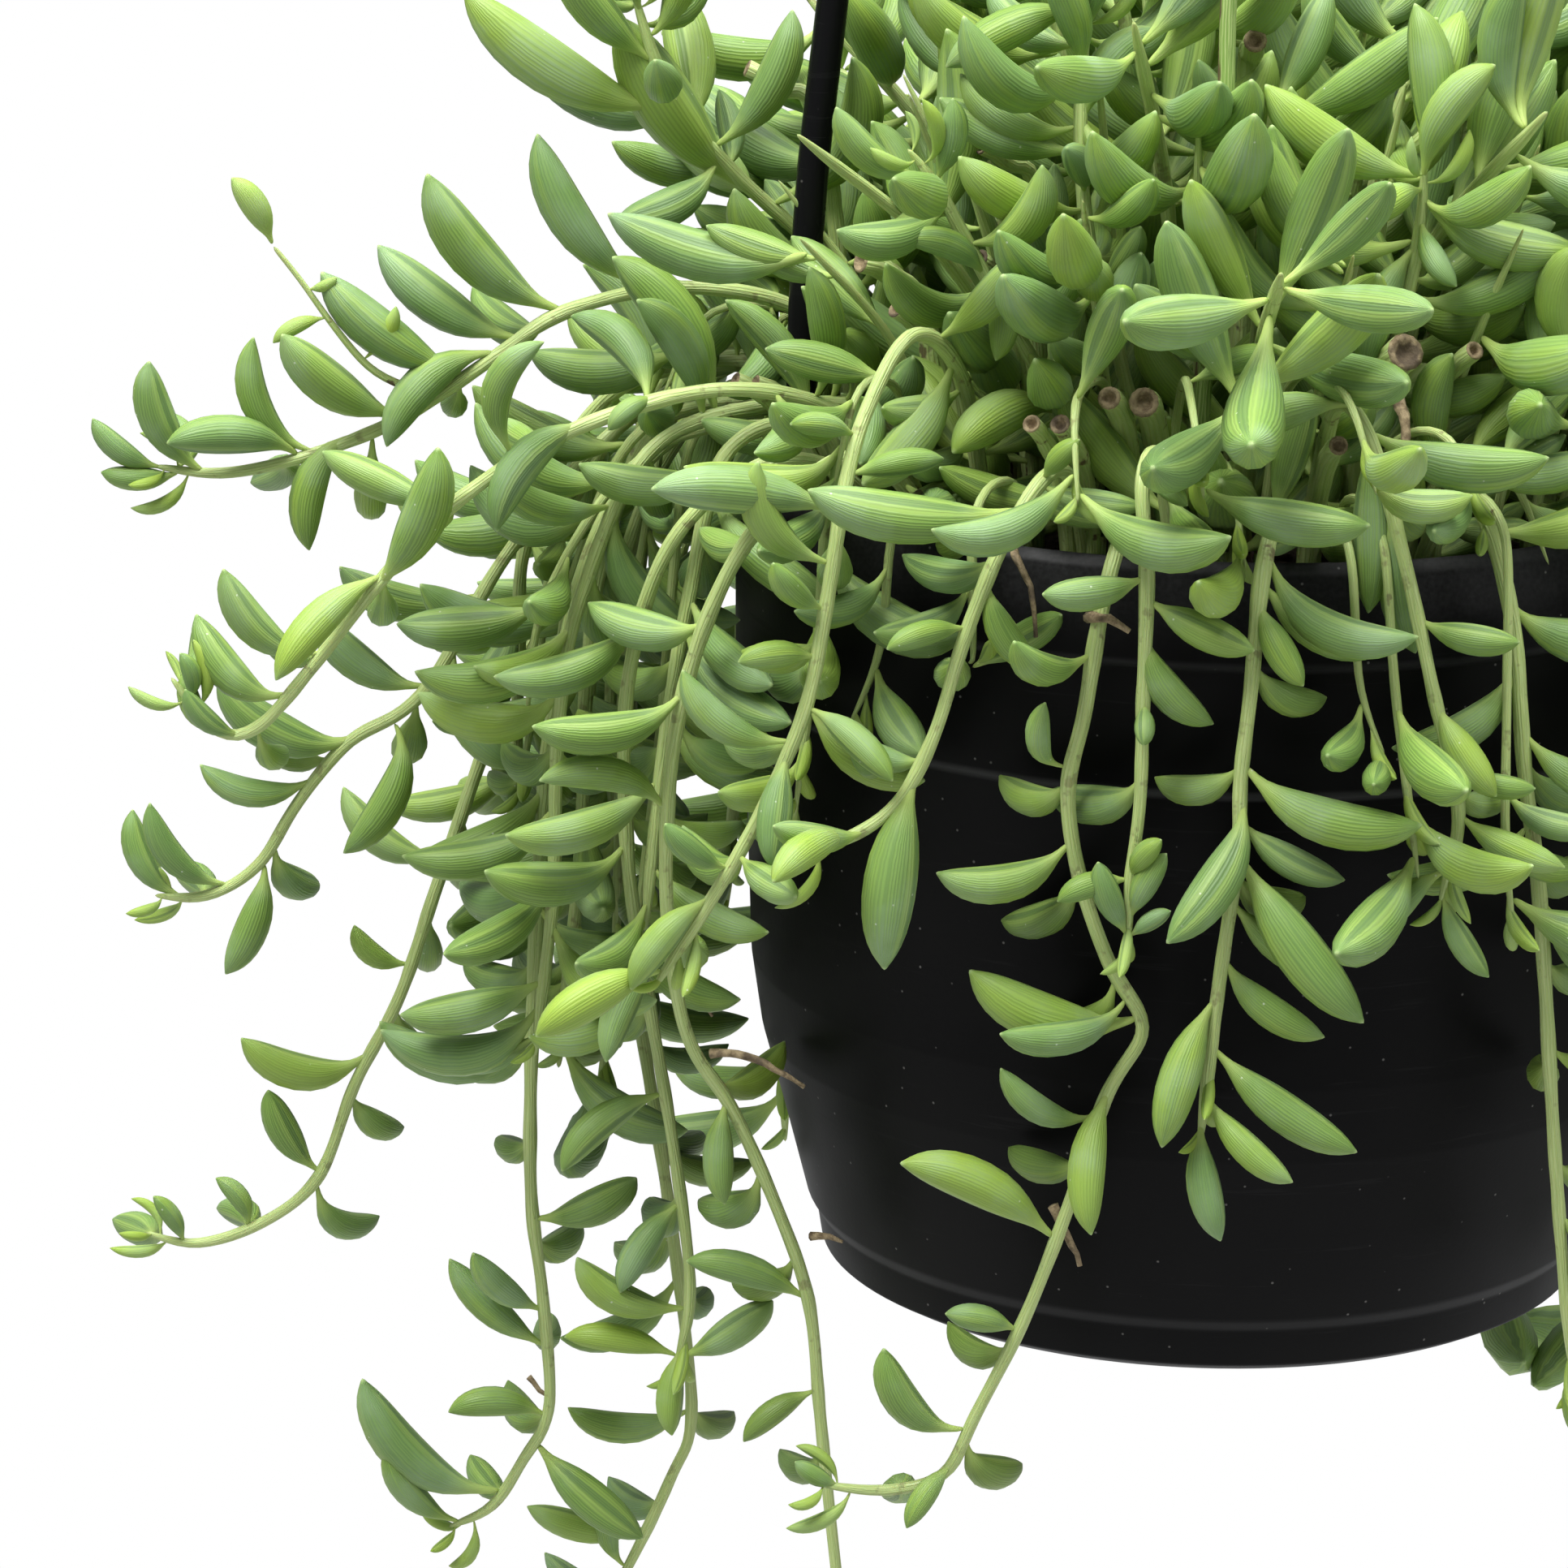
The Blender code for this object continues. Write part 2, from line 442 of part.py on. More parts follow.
def meridian_distance(radius, height):
    """Distance from the pot's wall, below 0 inside the wall."""
    outline = [*POT_OUTSIDE, (RIM_RADIUS, RIM_TOP), *POT_INSIDE, (0.0, FLOOR_TOP), (0.0, 0.0)]
    nearest = math.inf
    inside = False
    for (r0, h0), (r1, h1) in zip(outline, outline[1:] + outline[:1]):
        dr, dh = r1 - r0, h1 - h0
        share = ((radius - r0) * dr + (height - h0) * dh) / max(dr * dr + dh * dh, 1e-9)
        share = min(max(share, 0.0), 1.0)
        nearest = min(nearest, math.hypot(radius - r0 - share * dr, height - h0 - share * dh))
        if (h0 > height) != (h1 > height) and radius < r0 + (height - h0) / dh * dr:
            inside = not inside
    return -nearest if inside else nearest


class Space:
    """What is already placed, as balls, each with the name of its node."""

    def __init__(self):
        self.balls = np.zeros((0, 4))
        self.owners = np.zeros(0, dtype=int)
        self.names = []

    def add(self, name, balls):
        if name not in self.names:
            self.names.append(name)
        owner = self.names.index(name)
        self.balls = np.vstack([self.balls, balls])
        self.owners = np.append(self.owners, np.full(len(balls), owner))

    def clear_of_others(self, name, balls):
        owner = self.names.index(name) if name in self.names else -1
        others = self.balls[self.owners != owner]
        if len(others) == 0:
            return True
        apart = np.linalg.norm(balls[:, None, :3] - others[None, :, :3], axis=2)
        return bool((apart > balls[:, None, 3] + others[None, :, 3] + GAP).all())

    def clear_of_pot(self, balls):
        for x, y, z, radius in balls:
            out = math.hypot(x, y)
            if z < RIM_TOP + 8 and meridian_distance(out, z) < radius + GAP:
                return False
            if out < POT_INSIDE[1][0] and z < SOIL_TOP + radius + GAP:
                return False
        return True

    def accepts(self, name, leaf):
        balls = leaf.probes()
        return self.clear_of_others(name, balls) and self.clear_of_pot(balls)


def stem_balls(route):
    rows = [(*point, 1.1 * radius) for point, radius in stem_stations(route, 1.0)]
    return np.array(rows)


def trailing_stems():
    """Name and route of every stem that hangs over the rim by the rule."""
    rows = [(f"stem_left_{i + 1:02d}", row) for i, row in enumerate(LEFT_MASS)]
    rng = random.Random(SEED)
    for i in range(BACK_COUNT):
        azimuth = BACK_FROM + (BACK_TO - BACK_FROM) * i / (BACK_COUNT - 1) + rng.uniform(-1.5, 1.5)
        reach = rng.uniform(*BACK_REACH)
        tip_height = rng.uniform(*BACK_TIP)
        rows.append((f"stem_back_{i + 1:02d}", (azimuth, BACK_ROOT_RADII[i % 2], reach, tip_height)))
    return {name: trailing_route(*row, rng) for name, row in rows}


def upright_shoots():
    return {f"shoot_{i + 1:02d}": shoot_route(i) for i in range(SHOOT_COUNT)}


def grow_leaves(space, name, route, places, lengths, rise, rng):
    """Leaves in a spiral round a stem, each turned or shortened until it stands clear."""
    leaves = []
    turn = rng.uniform(0, math.tau)
    for place in places:
        turn += GOLDEN_ANGLE
        length = rng.uniform(*lengths)
        for attempt in range(14):
            nudge = 0.35 * ((attempt + 1) // 2) * (1 if attempt % 2 else -1)
            shorter = 1.0 if attempt < 9 else 0.75
            leaf = grown_leaf(route, place, turn + nudge, length * shorter, rise, rng.uniform(0.5, 1.0))
            if space.accepts(name, leaf):
                space.add(name, leaf.probes())
                leaves.append(leaf)
                break
    return leaves


def draw_leaves(space, name, route, rows):
    """The drawn leaves of a stem, leaned or turned a little where another stem is in the way."""
    leaves = []
    nudges = [(turn, lean) for turn in (0, 12, -12, 25, -25) for lean in (0, 12, -12, 24, -24, 40)]
    for place, angle, length, lean, bow in rows:
        for more_turn, more_lean in nudges:
            leaf = drawn_leaf(route, place, angle + more_turn, length, lean + more_lean, bow)
            if space.accepts(name, leaf):
                space.add(name, leaf.probes())
                leaves.append(leaf)
                break
    return leaves


def places_along(route, first, step):
    """Places on the route a step apart, from the first one to the tip."""
    fine = smooth_route(route, 1.0)
    found = []
    walked = 0.0
    for (_, a), (place, b) in zip(fine, fine[1:]):
        walked += (b - a).length
        if place >= first and walked >= step:
            found.append(place)
            walked = 0.0
    return found


def plant_layout():
    """Every stem with its route and its leaves: {node name: (route, leaves)}."""
    drawn = {name: route for name, (route, _) in DRAWN_STEMS.items()}
    trailing = trailing_stems()
    shoots = upright_shoots()
    routes = {**drawn, **trailing, **shoots}
    space = Space()
    for azimuth in ARM_AZIMUTHS:
        space.add("arms", arm_balls(azimuth))
    for name, route in routes.items():
        space.add(name, stem_balls(route))
    layout = {}
    for name, (route, rows) in DRAWN_STEMS.items():
        layout[name] = (route, draw_leaves(space, name, route, rows))
    for index, (name, route) in enumerate({**trailing, **shoots}.items()):
        rng = random.Random(SEED + 100 + index)
        if name in shoots:
            first, last = SHOOT_LEAF_PLACES
            places = [first + (last - first) * (k / (SHOOT_LEAVES - 1)) for k in range(SHOOT_LEAVES)]
            leaves = grow_leaves(space, name, route, places, SHOOT_LEAF_LENGTH, SHOOT_LEAF_RISE, rng)
        else:
            places = places_along(route, TRAIL_FIRST_LEAF, TRAIL_LEAF_STEP)
            leaves = grow_leaves(space, name, route, places, TRAIL_LEAF_LENGTH, TRAIL_LEAF_RISE, rng)
        layout[name] = (route, leaves)
    return layout


def arm_stations(azimuth):
    return [(on_circle(radius, azimuth, height), 0.5 * thick) for radius, height, thick in ARM_STATIONS]


def arm_balls(azimuth):
    rows = []
    for (a, thick_a), (b, thick_b) in zip(arm_stations(azimuth), arm_stations(azimuth)[1:]):
        count = max(1, round((b - a).length))
        for k in range(count):
            rows.append((*a.lerp(b, k / count), max(thick_a, thick_b)))
    return np.array(rows)


def clear_scene():
    for obj in list(bpy.data.objects):
        bpy.data.objects.remove(obj)


def material(name, colour, roughness, metallic=0.0):
    made = bpy.data.materials.get(name)
    if made:
        return made
    made = bpy.data.materials.new(name)
    made.use_nodes = True
    shader = made.node_tree.nodes["Principled BSDF"]
    shader.inputs["Base Color"].default_value = (*colour, 1.0)
    shader.inputs["Roughness"].default_value = roughness
    shader.inputs["Metallic"].default_value = metallic
    made.diffuse_color = (*colour, 1.0)
    return made


def new_object(name, body, finish=None, parent=None, collection=None):
    """An object from a bmesh, which is freed."""
    mesh = bpy.data.meshes.new(name)
    body.to_mesh(mesh)
    body.free()
    if finish:
        mesh.materials.append(finish)
        mesh.shade_smooth()
        mesh.set_sharp_from_angle(angle=math.radians(40))
    obj = bpy.data.objects.new(name, mesh)
    (collection or bpy.context.scene.collection).objects.link(obj)
    obj.parent = parent
    return obj


def combine(obj, others, operation, solver):
    """Applies one Boolean with a collection of other objects, which are then removed."""
    tools = bpy.data.collections.new(obj.name + "_parts")
    bpy.context.scene.collection.children.link(tools)
    for other in others:
        for user in list(other.users_collection):
            user.objects.unlink(other)
        tools.objects.link(other)
    modifier = obj.modifiers.new("joined", "BOOLEAN")
    modifier.operation = operation
    modifier.operand_type = "COLLECTION"
    modifier.collection = tools
    modifier.solver = solver
    bpy.context.view_layer.update()
    graph = bpy.context.evaluated_depsgraph_get()
    result = bpy.data.meshes.new_from_object(obj.evaluated_get(graph))
    obj.modifiers.clear()
    old = obj.data
    obj.data = result
    bpy.data.meshes.remove(old)
    for other in list(tools.objects):
        bpy.data.objects.remove(other)
    bpy.data.collections.remove(tools)


def spun_profile(profile, sides):
    """A closed body turned about Z from a profile of (radius, height) that starts and ends on the axis."""
    body = bmesh.new()
    edges = []
    verts = [body.verts.new((radius * MM, 0, height * MM)) for radius, height in profile]
    for a, b in zip(verts, verts[1:]):
        edges.append(body.edges.new((a, b)))
    bmesh.ops.spin(
        body, geom=verts + edges, cent=(0, 0, 0), axis=(0, 0, 1), angle=math.tau, steps=sides, use_merge=True,
    )
    bmesh.ops.remove_doubles(body, verts=body.verts[:], dist=1e-6)
    bmesh.ops.recalc_face_normals(body, faces=body.faces[:])
    return body


def rod_cutter(name, start, end, radius, sides, base):
    """A plain round cutter between two points."""
    obj = new_object(name, swept_tube([(start, radius), (end, radius)], sides), parent=base)
    obj.hide_render = True
    obj.display_type = "WIRE"
    return obj


def lug_block(azimuth, base):
    """The ear inside the wall that an arm hangs on."""
    body = bmesh.new()
    bmesh.ops.create_cube(body, size=1.0)
    outer = POT_INSIDE[1][0] + 0.6 * WALL
    depth = outer - LUG_RADIUS_IN
    place = Matrix.Rotation(math.radians(azimuth), 4, "Z")
    shift = Matrix.Translation(Vector((0, -(outer - 0.5 * depth), 0.5 * (LUG_BOTTOM + LUG_TOP))) * MM)
    size = Matrix.Diagonal((2 * LUG_HALF_WIDTH * MM, depth * MM, (LUG_TOP - LUG_BOTTOM) * MM, 1))
    bmesh.ops.transform(body, matrix=place @ shift @ size, verts=body.verts[:])
    return new_object(f"lug_{azimuth:.0f}", body, parent=base)


def make_pot(base):
    finish = material("pot_plastic", (0.008, 0.008, 0.009), 0.42)
    profile = [
        (0.0, FLOOR_UNDER), (FOOT_INNER_RADIUS - 1.5, FLOOR_UNDER), (FOOT_INNER_RADIUS, 0.0),
        *POT_OUTSIDE, (RIM_RADIUS, RIM_TOP), *POT_INSIDE, (0.0, FLOOR_TOP),
    ]
    pot = new_object("pot", spun_profile(profile, POT_SIDES), finish, base)
    combine(pot, [lug_block(azimuth, base) for azimuth in ARM_AZIMUTHS], "UNION", "EXACT")
    cutters = []
    for i in range(DRAIN_COUNT):
        centre = on_circle(DRAIN_CIRCLE, 360 * (i + 0.5) / DRAIN_COUNT, 0)
        up = Vector((0, 0, 8))
        cutters.append(rod_cutter(f"drain_{i}", centre - up, centre + up, DRAIN_RADIUS, 10, base))
    for azimuth in ARM_AZIMUTHS:
        low = on_circle(ARM_STATIONS[2][0], azimuth, LUG_BOTTOM - 3)
        high = on_circle(ARM_STATIONS[2][0], azimuth, LUG_TOP + 3)
        cutters.append(rod_cutter(f"lug_hole_{azimuth:.0f}", low, high, LUG_HOLE_RADIUS, 10, base))
    combine(pot, cutters, "DIFFERENCE", "EXACT")


def make_soil(base, routes):
    """The root ball, with a hole for each stem."""
    finish = material("soil", (0.035, 0.022, 0.014), 0.95)
    inner = [(radius - GAP, height) for radius, height in POT_INSIDE if FLOOR_TOP < height < SOIL_TOP]
    top_radius = POT_INSIDE[1][0] - GAP
    low_radius, low_height = POT_INSIDE[-1]
    profile = [
        (0.0, low_height + GAP), (low_radius - GAP, low_height + GAP), *inner[::-1],
        (top_radius, SOIL_TOP - 0.6), (top_radius - 3, SOIL_TOP), (0.0, SOIL_TOP),
    ]
    soil = new_object("soil", spun_profile(profile, POT_SIDES), finish, base)
    cutters = []
    hole_radius = STEM_ROOT_RADIUS + HOLE_ROOM
    for name, route in routes.items():
        (root, _), (above, _) = stem_stations(route, STEM_STEP)[:2]
        below = root.lerp(above, -HOLE_DEEPER)
        cutters.append(rod_cutter("hole_" + name, below, above, hole_radius, HOLE_SIDES, base))
    combine(soil, cutters, "DIFFERENCE", "EXACT")


def make_arms(base):
    finish = material("hanger_plastic", (0.01, 0.01, 0.011), 0.3)
    for name, azimuth in zip(("hanger_arm_left", "hanger_arm_right"), ARM_AZIMUTHS):
        new_object(name, swept_tube(arm_stations(azimuth), ARM_SIDES), finish, base)


def hook_stations():
    """The open hook, from its free end over the top and down to the hub."""
    centre = Vector((0, 0, HOOK_HEIGHT - HOOK_MOUTH_RADIUS))
    radius = HOOK_MOUTH_RADIUS + 0.5 * HOOK_THICKNESS
    stations = []
    for k in range(12):
        turn = math.radians(-28 + 22.5 * k)
        stations.append(centre + Vector((radius * math.cos(turn), 0, radius * math.sin(turn))))
    stations.append(Vector((-3.4, 0, centre.z - radius - 3.0)))
    stations.append(Vector((0, 0, centre.z - radius - 9.0)))
    stations.append(Vector((0, 0, HUB_TOP - 3)))
    return [(point, 0.5 * HOOK_THICKNESS) for point in stations]


def make_hook(base):
    """The hook and the hub that both arms are pressed into."""
    finish = material("hanger_plastic", (0.01, 0.01, 0.011), 0.3)
    profile = [
        (0.0, HUB_BOTTOM), (HUB_RADIUS - 1.5, HUB_BOTTOM), (HUB_RADIUS, HUB_BOTTOM + 1.5),
        (HUB_RADIUS, HUB_TOP - 4), (HUB_RADIUS - 4, HUB_TOP), (0.0, HUB_TOP),
    ]
    hook = new_object("hanger_hook", spun_profile(profile, HUB_SIDES), finish, base)
    bend = new_object("hook_bend", swept_tube(hook_stations(), HOOK_SIDES), parent=base)
    combine(hook, [bend], "UNION", "EXACT")
    sockets = []
    for azimuth in ARM_AZIMUTHS:
        (low, _), (high, thick) = arm_stations(azimuth)[-2:]
        along = (high - low).normalized()
        start = high - along * 16
        end = high + along * GAP
        sockets.append(rod_cutter(f"socket_{azimuth:.0f}", start, end, thick + SOCKET_ROOM, 12, base))
    combine(hook, sockets, "DIFFERENCE", "EXACT")


def make_leafy_stem(base, name, route, leaves, finish):
    """One stem with its leaves, joined into one body."""
    stem = new_object(name, swept_tube(stem_stations(route, STEM_STEP), STEM_SIDES), finish, base)
    parts = [new_object(f"{name}_leaf_{i}", leaf.solid(), finish, base) for i, leaf in enumerate(leaves)]
    if parts:
        combine(stem, parts, "UNION", "MANIFOLD")
    return stem


def make_plant(base, layout):
    leaf_green = material("leaf", (0.16, 0.27, 0.09), 0.42)
    for name, (route, leaves) in layout.items():
        make_leafy_stem(base, name, route, leaves, leaf_green)


def main():
    clear_scene()
    base = bpy.data.objects.new("pot_base", None)
    base.location = (0, 0, -HOOK_HEIGHT * MM)
    bpy.context.scene.collection.objects.link(base)
    layout = plant_layout()
    make_pot(base)
    make_soil(base, {name: route for name, (route, _) in layout.items()})
    make_arms(base)
    make_hook(base)
    make_plant(base, layout)


if __name__ == "__main__":
    main()
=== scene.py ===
"""The finer surface of the potted string of bananas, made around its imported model.

Plant and pot are laid out in millimetres from the centre of the pot's base: +X to the viewer's
right, -Y towards the viewer. The frame's origin is where the hook bears, HOOK_HEIGHT above that.
"""

import math
import random
from collections import defaultdict

import bmesh
import bpy
import numpy as np
from bpy.props import FloatProperty, FloatVectorProperty, IntProperty, PointerProperty
from mathutils import Matrix, Vector, noise


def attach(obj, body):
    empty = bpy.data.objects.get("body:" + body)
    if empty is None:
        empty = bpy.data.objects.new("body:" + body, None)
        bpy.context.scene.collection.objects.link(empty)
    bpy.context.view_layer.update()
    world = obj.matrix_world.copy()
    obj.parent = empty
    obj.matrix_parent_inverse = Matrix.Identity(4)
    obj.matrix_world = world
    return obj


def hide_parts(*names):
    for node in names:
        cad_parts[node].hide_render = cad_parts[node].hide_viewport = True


bl_info = {
    "name": "Potted string of bananas",
    "version": (1, 0, 0),
    "blender": (4, 5, 0),
    "location": "3D View > Sidebar > Plant",
    "description": "Dresses the packed hanging plant with fine leaves, stems, pot, soil, hanger and a studio",
    "category": "Object",
}

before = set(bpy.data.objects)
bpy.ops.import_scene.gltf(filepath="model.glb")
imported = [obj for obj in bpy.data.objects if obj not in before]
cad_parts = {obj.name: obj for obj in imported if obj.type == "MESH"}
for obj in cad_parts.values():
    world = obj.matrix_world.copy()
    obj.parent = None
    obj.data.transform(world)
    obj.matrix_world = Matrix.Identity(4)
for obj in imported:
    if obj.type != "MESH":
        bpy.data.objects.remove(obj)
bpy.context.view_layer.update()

MM = 0.001
HOOK_HEIGHT = 500.0  # bearing point of the hook above the pot's base
GAP = 0.3  # room between pieces that touch

WALL = 1.6
RIM_TOP = 127.0
RIM_RADIUS = 71.6
FLOOR_TOP = 4.0
# Outside of the pot from foot to rim: (radius, height)
POT_OUTSIDE = (
    (56.0, 0.0), (58.9, 1.6), (59.9, 7.4), (61.4, 9.6), (65.4, 24.5), (68.8, 36.5), (70.6, 48.0),
    (72.5, 92.2), (73.6, 93.0), (73.9, 111.4), (75.3, 112.2), (74.4, 119.0), (72.9, 125.4),
)
# Inside of the pot from rim to floor
POT_INSIDE = (
    (70.2, 126.0), (69.8, 112.0), (69.0, 48.0), (66.0, 32.0), (59.4, 9.6), (57.2, FLOOR_TOP),
)
FOOT_INNER_RADIUS = 50.0
FLOOR_UNDER = 2.0
DRAIN_COUNT = 6
DRAIN_CIRCLE = 38.0
DRAIN_RADIUS = 4.5

SOIL_TOP = 112.0
ROOT_DEPTH = 7.0

ARM_AZIMUTHS = (-75.0, 105.0)
# Each arm from its button under the lug to the hub: (radius from the axis, height, thickness)
ARM_STATIONS = (
    (66.3, 114.6, 5.8), (66.3, 117.2, 6.2), (66.3, 117.3, 4.4), (66.3, 124.0, 4.4), (66.5, 145.0, 4.6),
    (65.6, 168.0, 4.7), (63.5, 190.0, 4.7), (57.6, 240.0, 4.7), (46.0, 305.0, 4.7), (31.0, 368.0, 4.8),
    (16.2, 418.0, 4.8), (8.5, 440.0, 4.8), (5.6, 449.4, 4.8),
)
LUG_RADIUS_IN = 61.5
LUG_HALF_WIDTH = 6.0
LUG_BOTTOM = 117.6
LUG_TOP = 121.0
LUG_HOLE_RADIUS = 2.6
HUB_RADIUS = 11.0
HUB_BOTTOM = 440.0
HUB_TOP = 454.0
SOCKET_ROOM = 0.35
HOOK_THICKNESS = 4.4
HOOK_MOUTH_RADIUS = 12.0

SEED = 11
STEM_STEP = 16.0  # spacing of the rings of a stem
STEM_ROOT_RADIUS = 1.5
STEM_TIP_RADIUS = 0.8
TIP_SHARE = 0.15  # the last leaf grows this far before the end of the route
LEAF_WIDTH_SHARE = 0.245  # thickness of a leaf as a share of its length
LEAF_SAG = 0.13  # how far a leaf of bow 1 stands off the line from its base to its tip
LEAF_PROBES = 13
LEAST_PROBE_RADIUS = 0.9
PROBE_SHARE = 1.15
GOLDEN_ANGLE = math.radians(137.5)

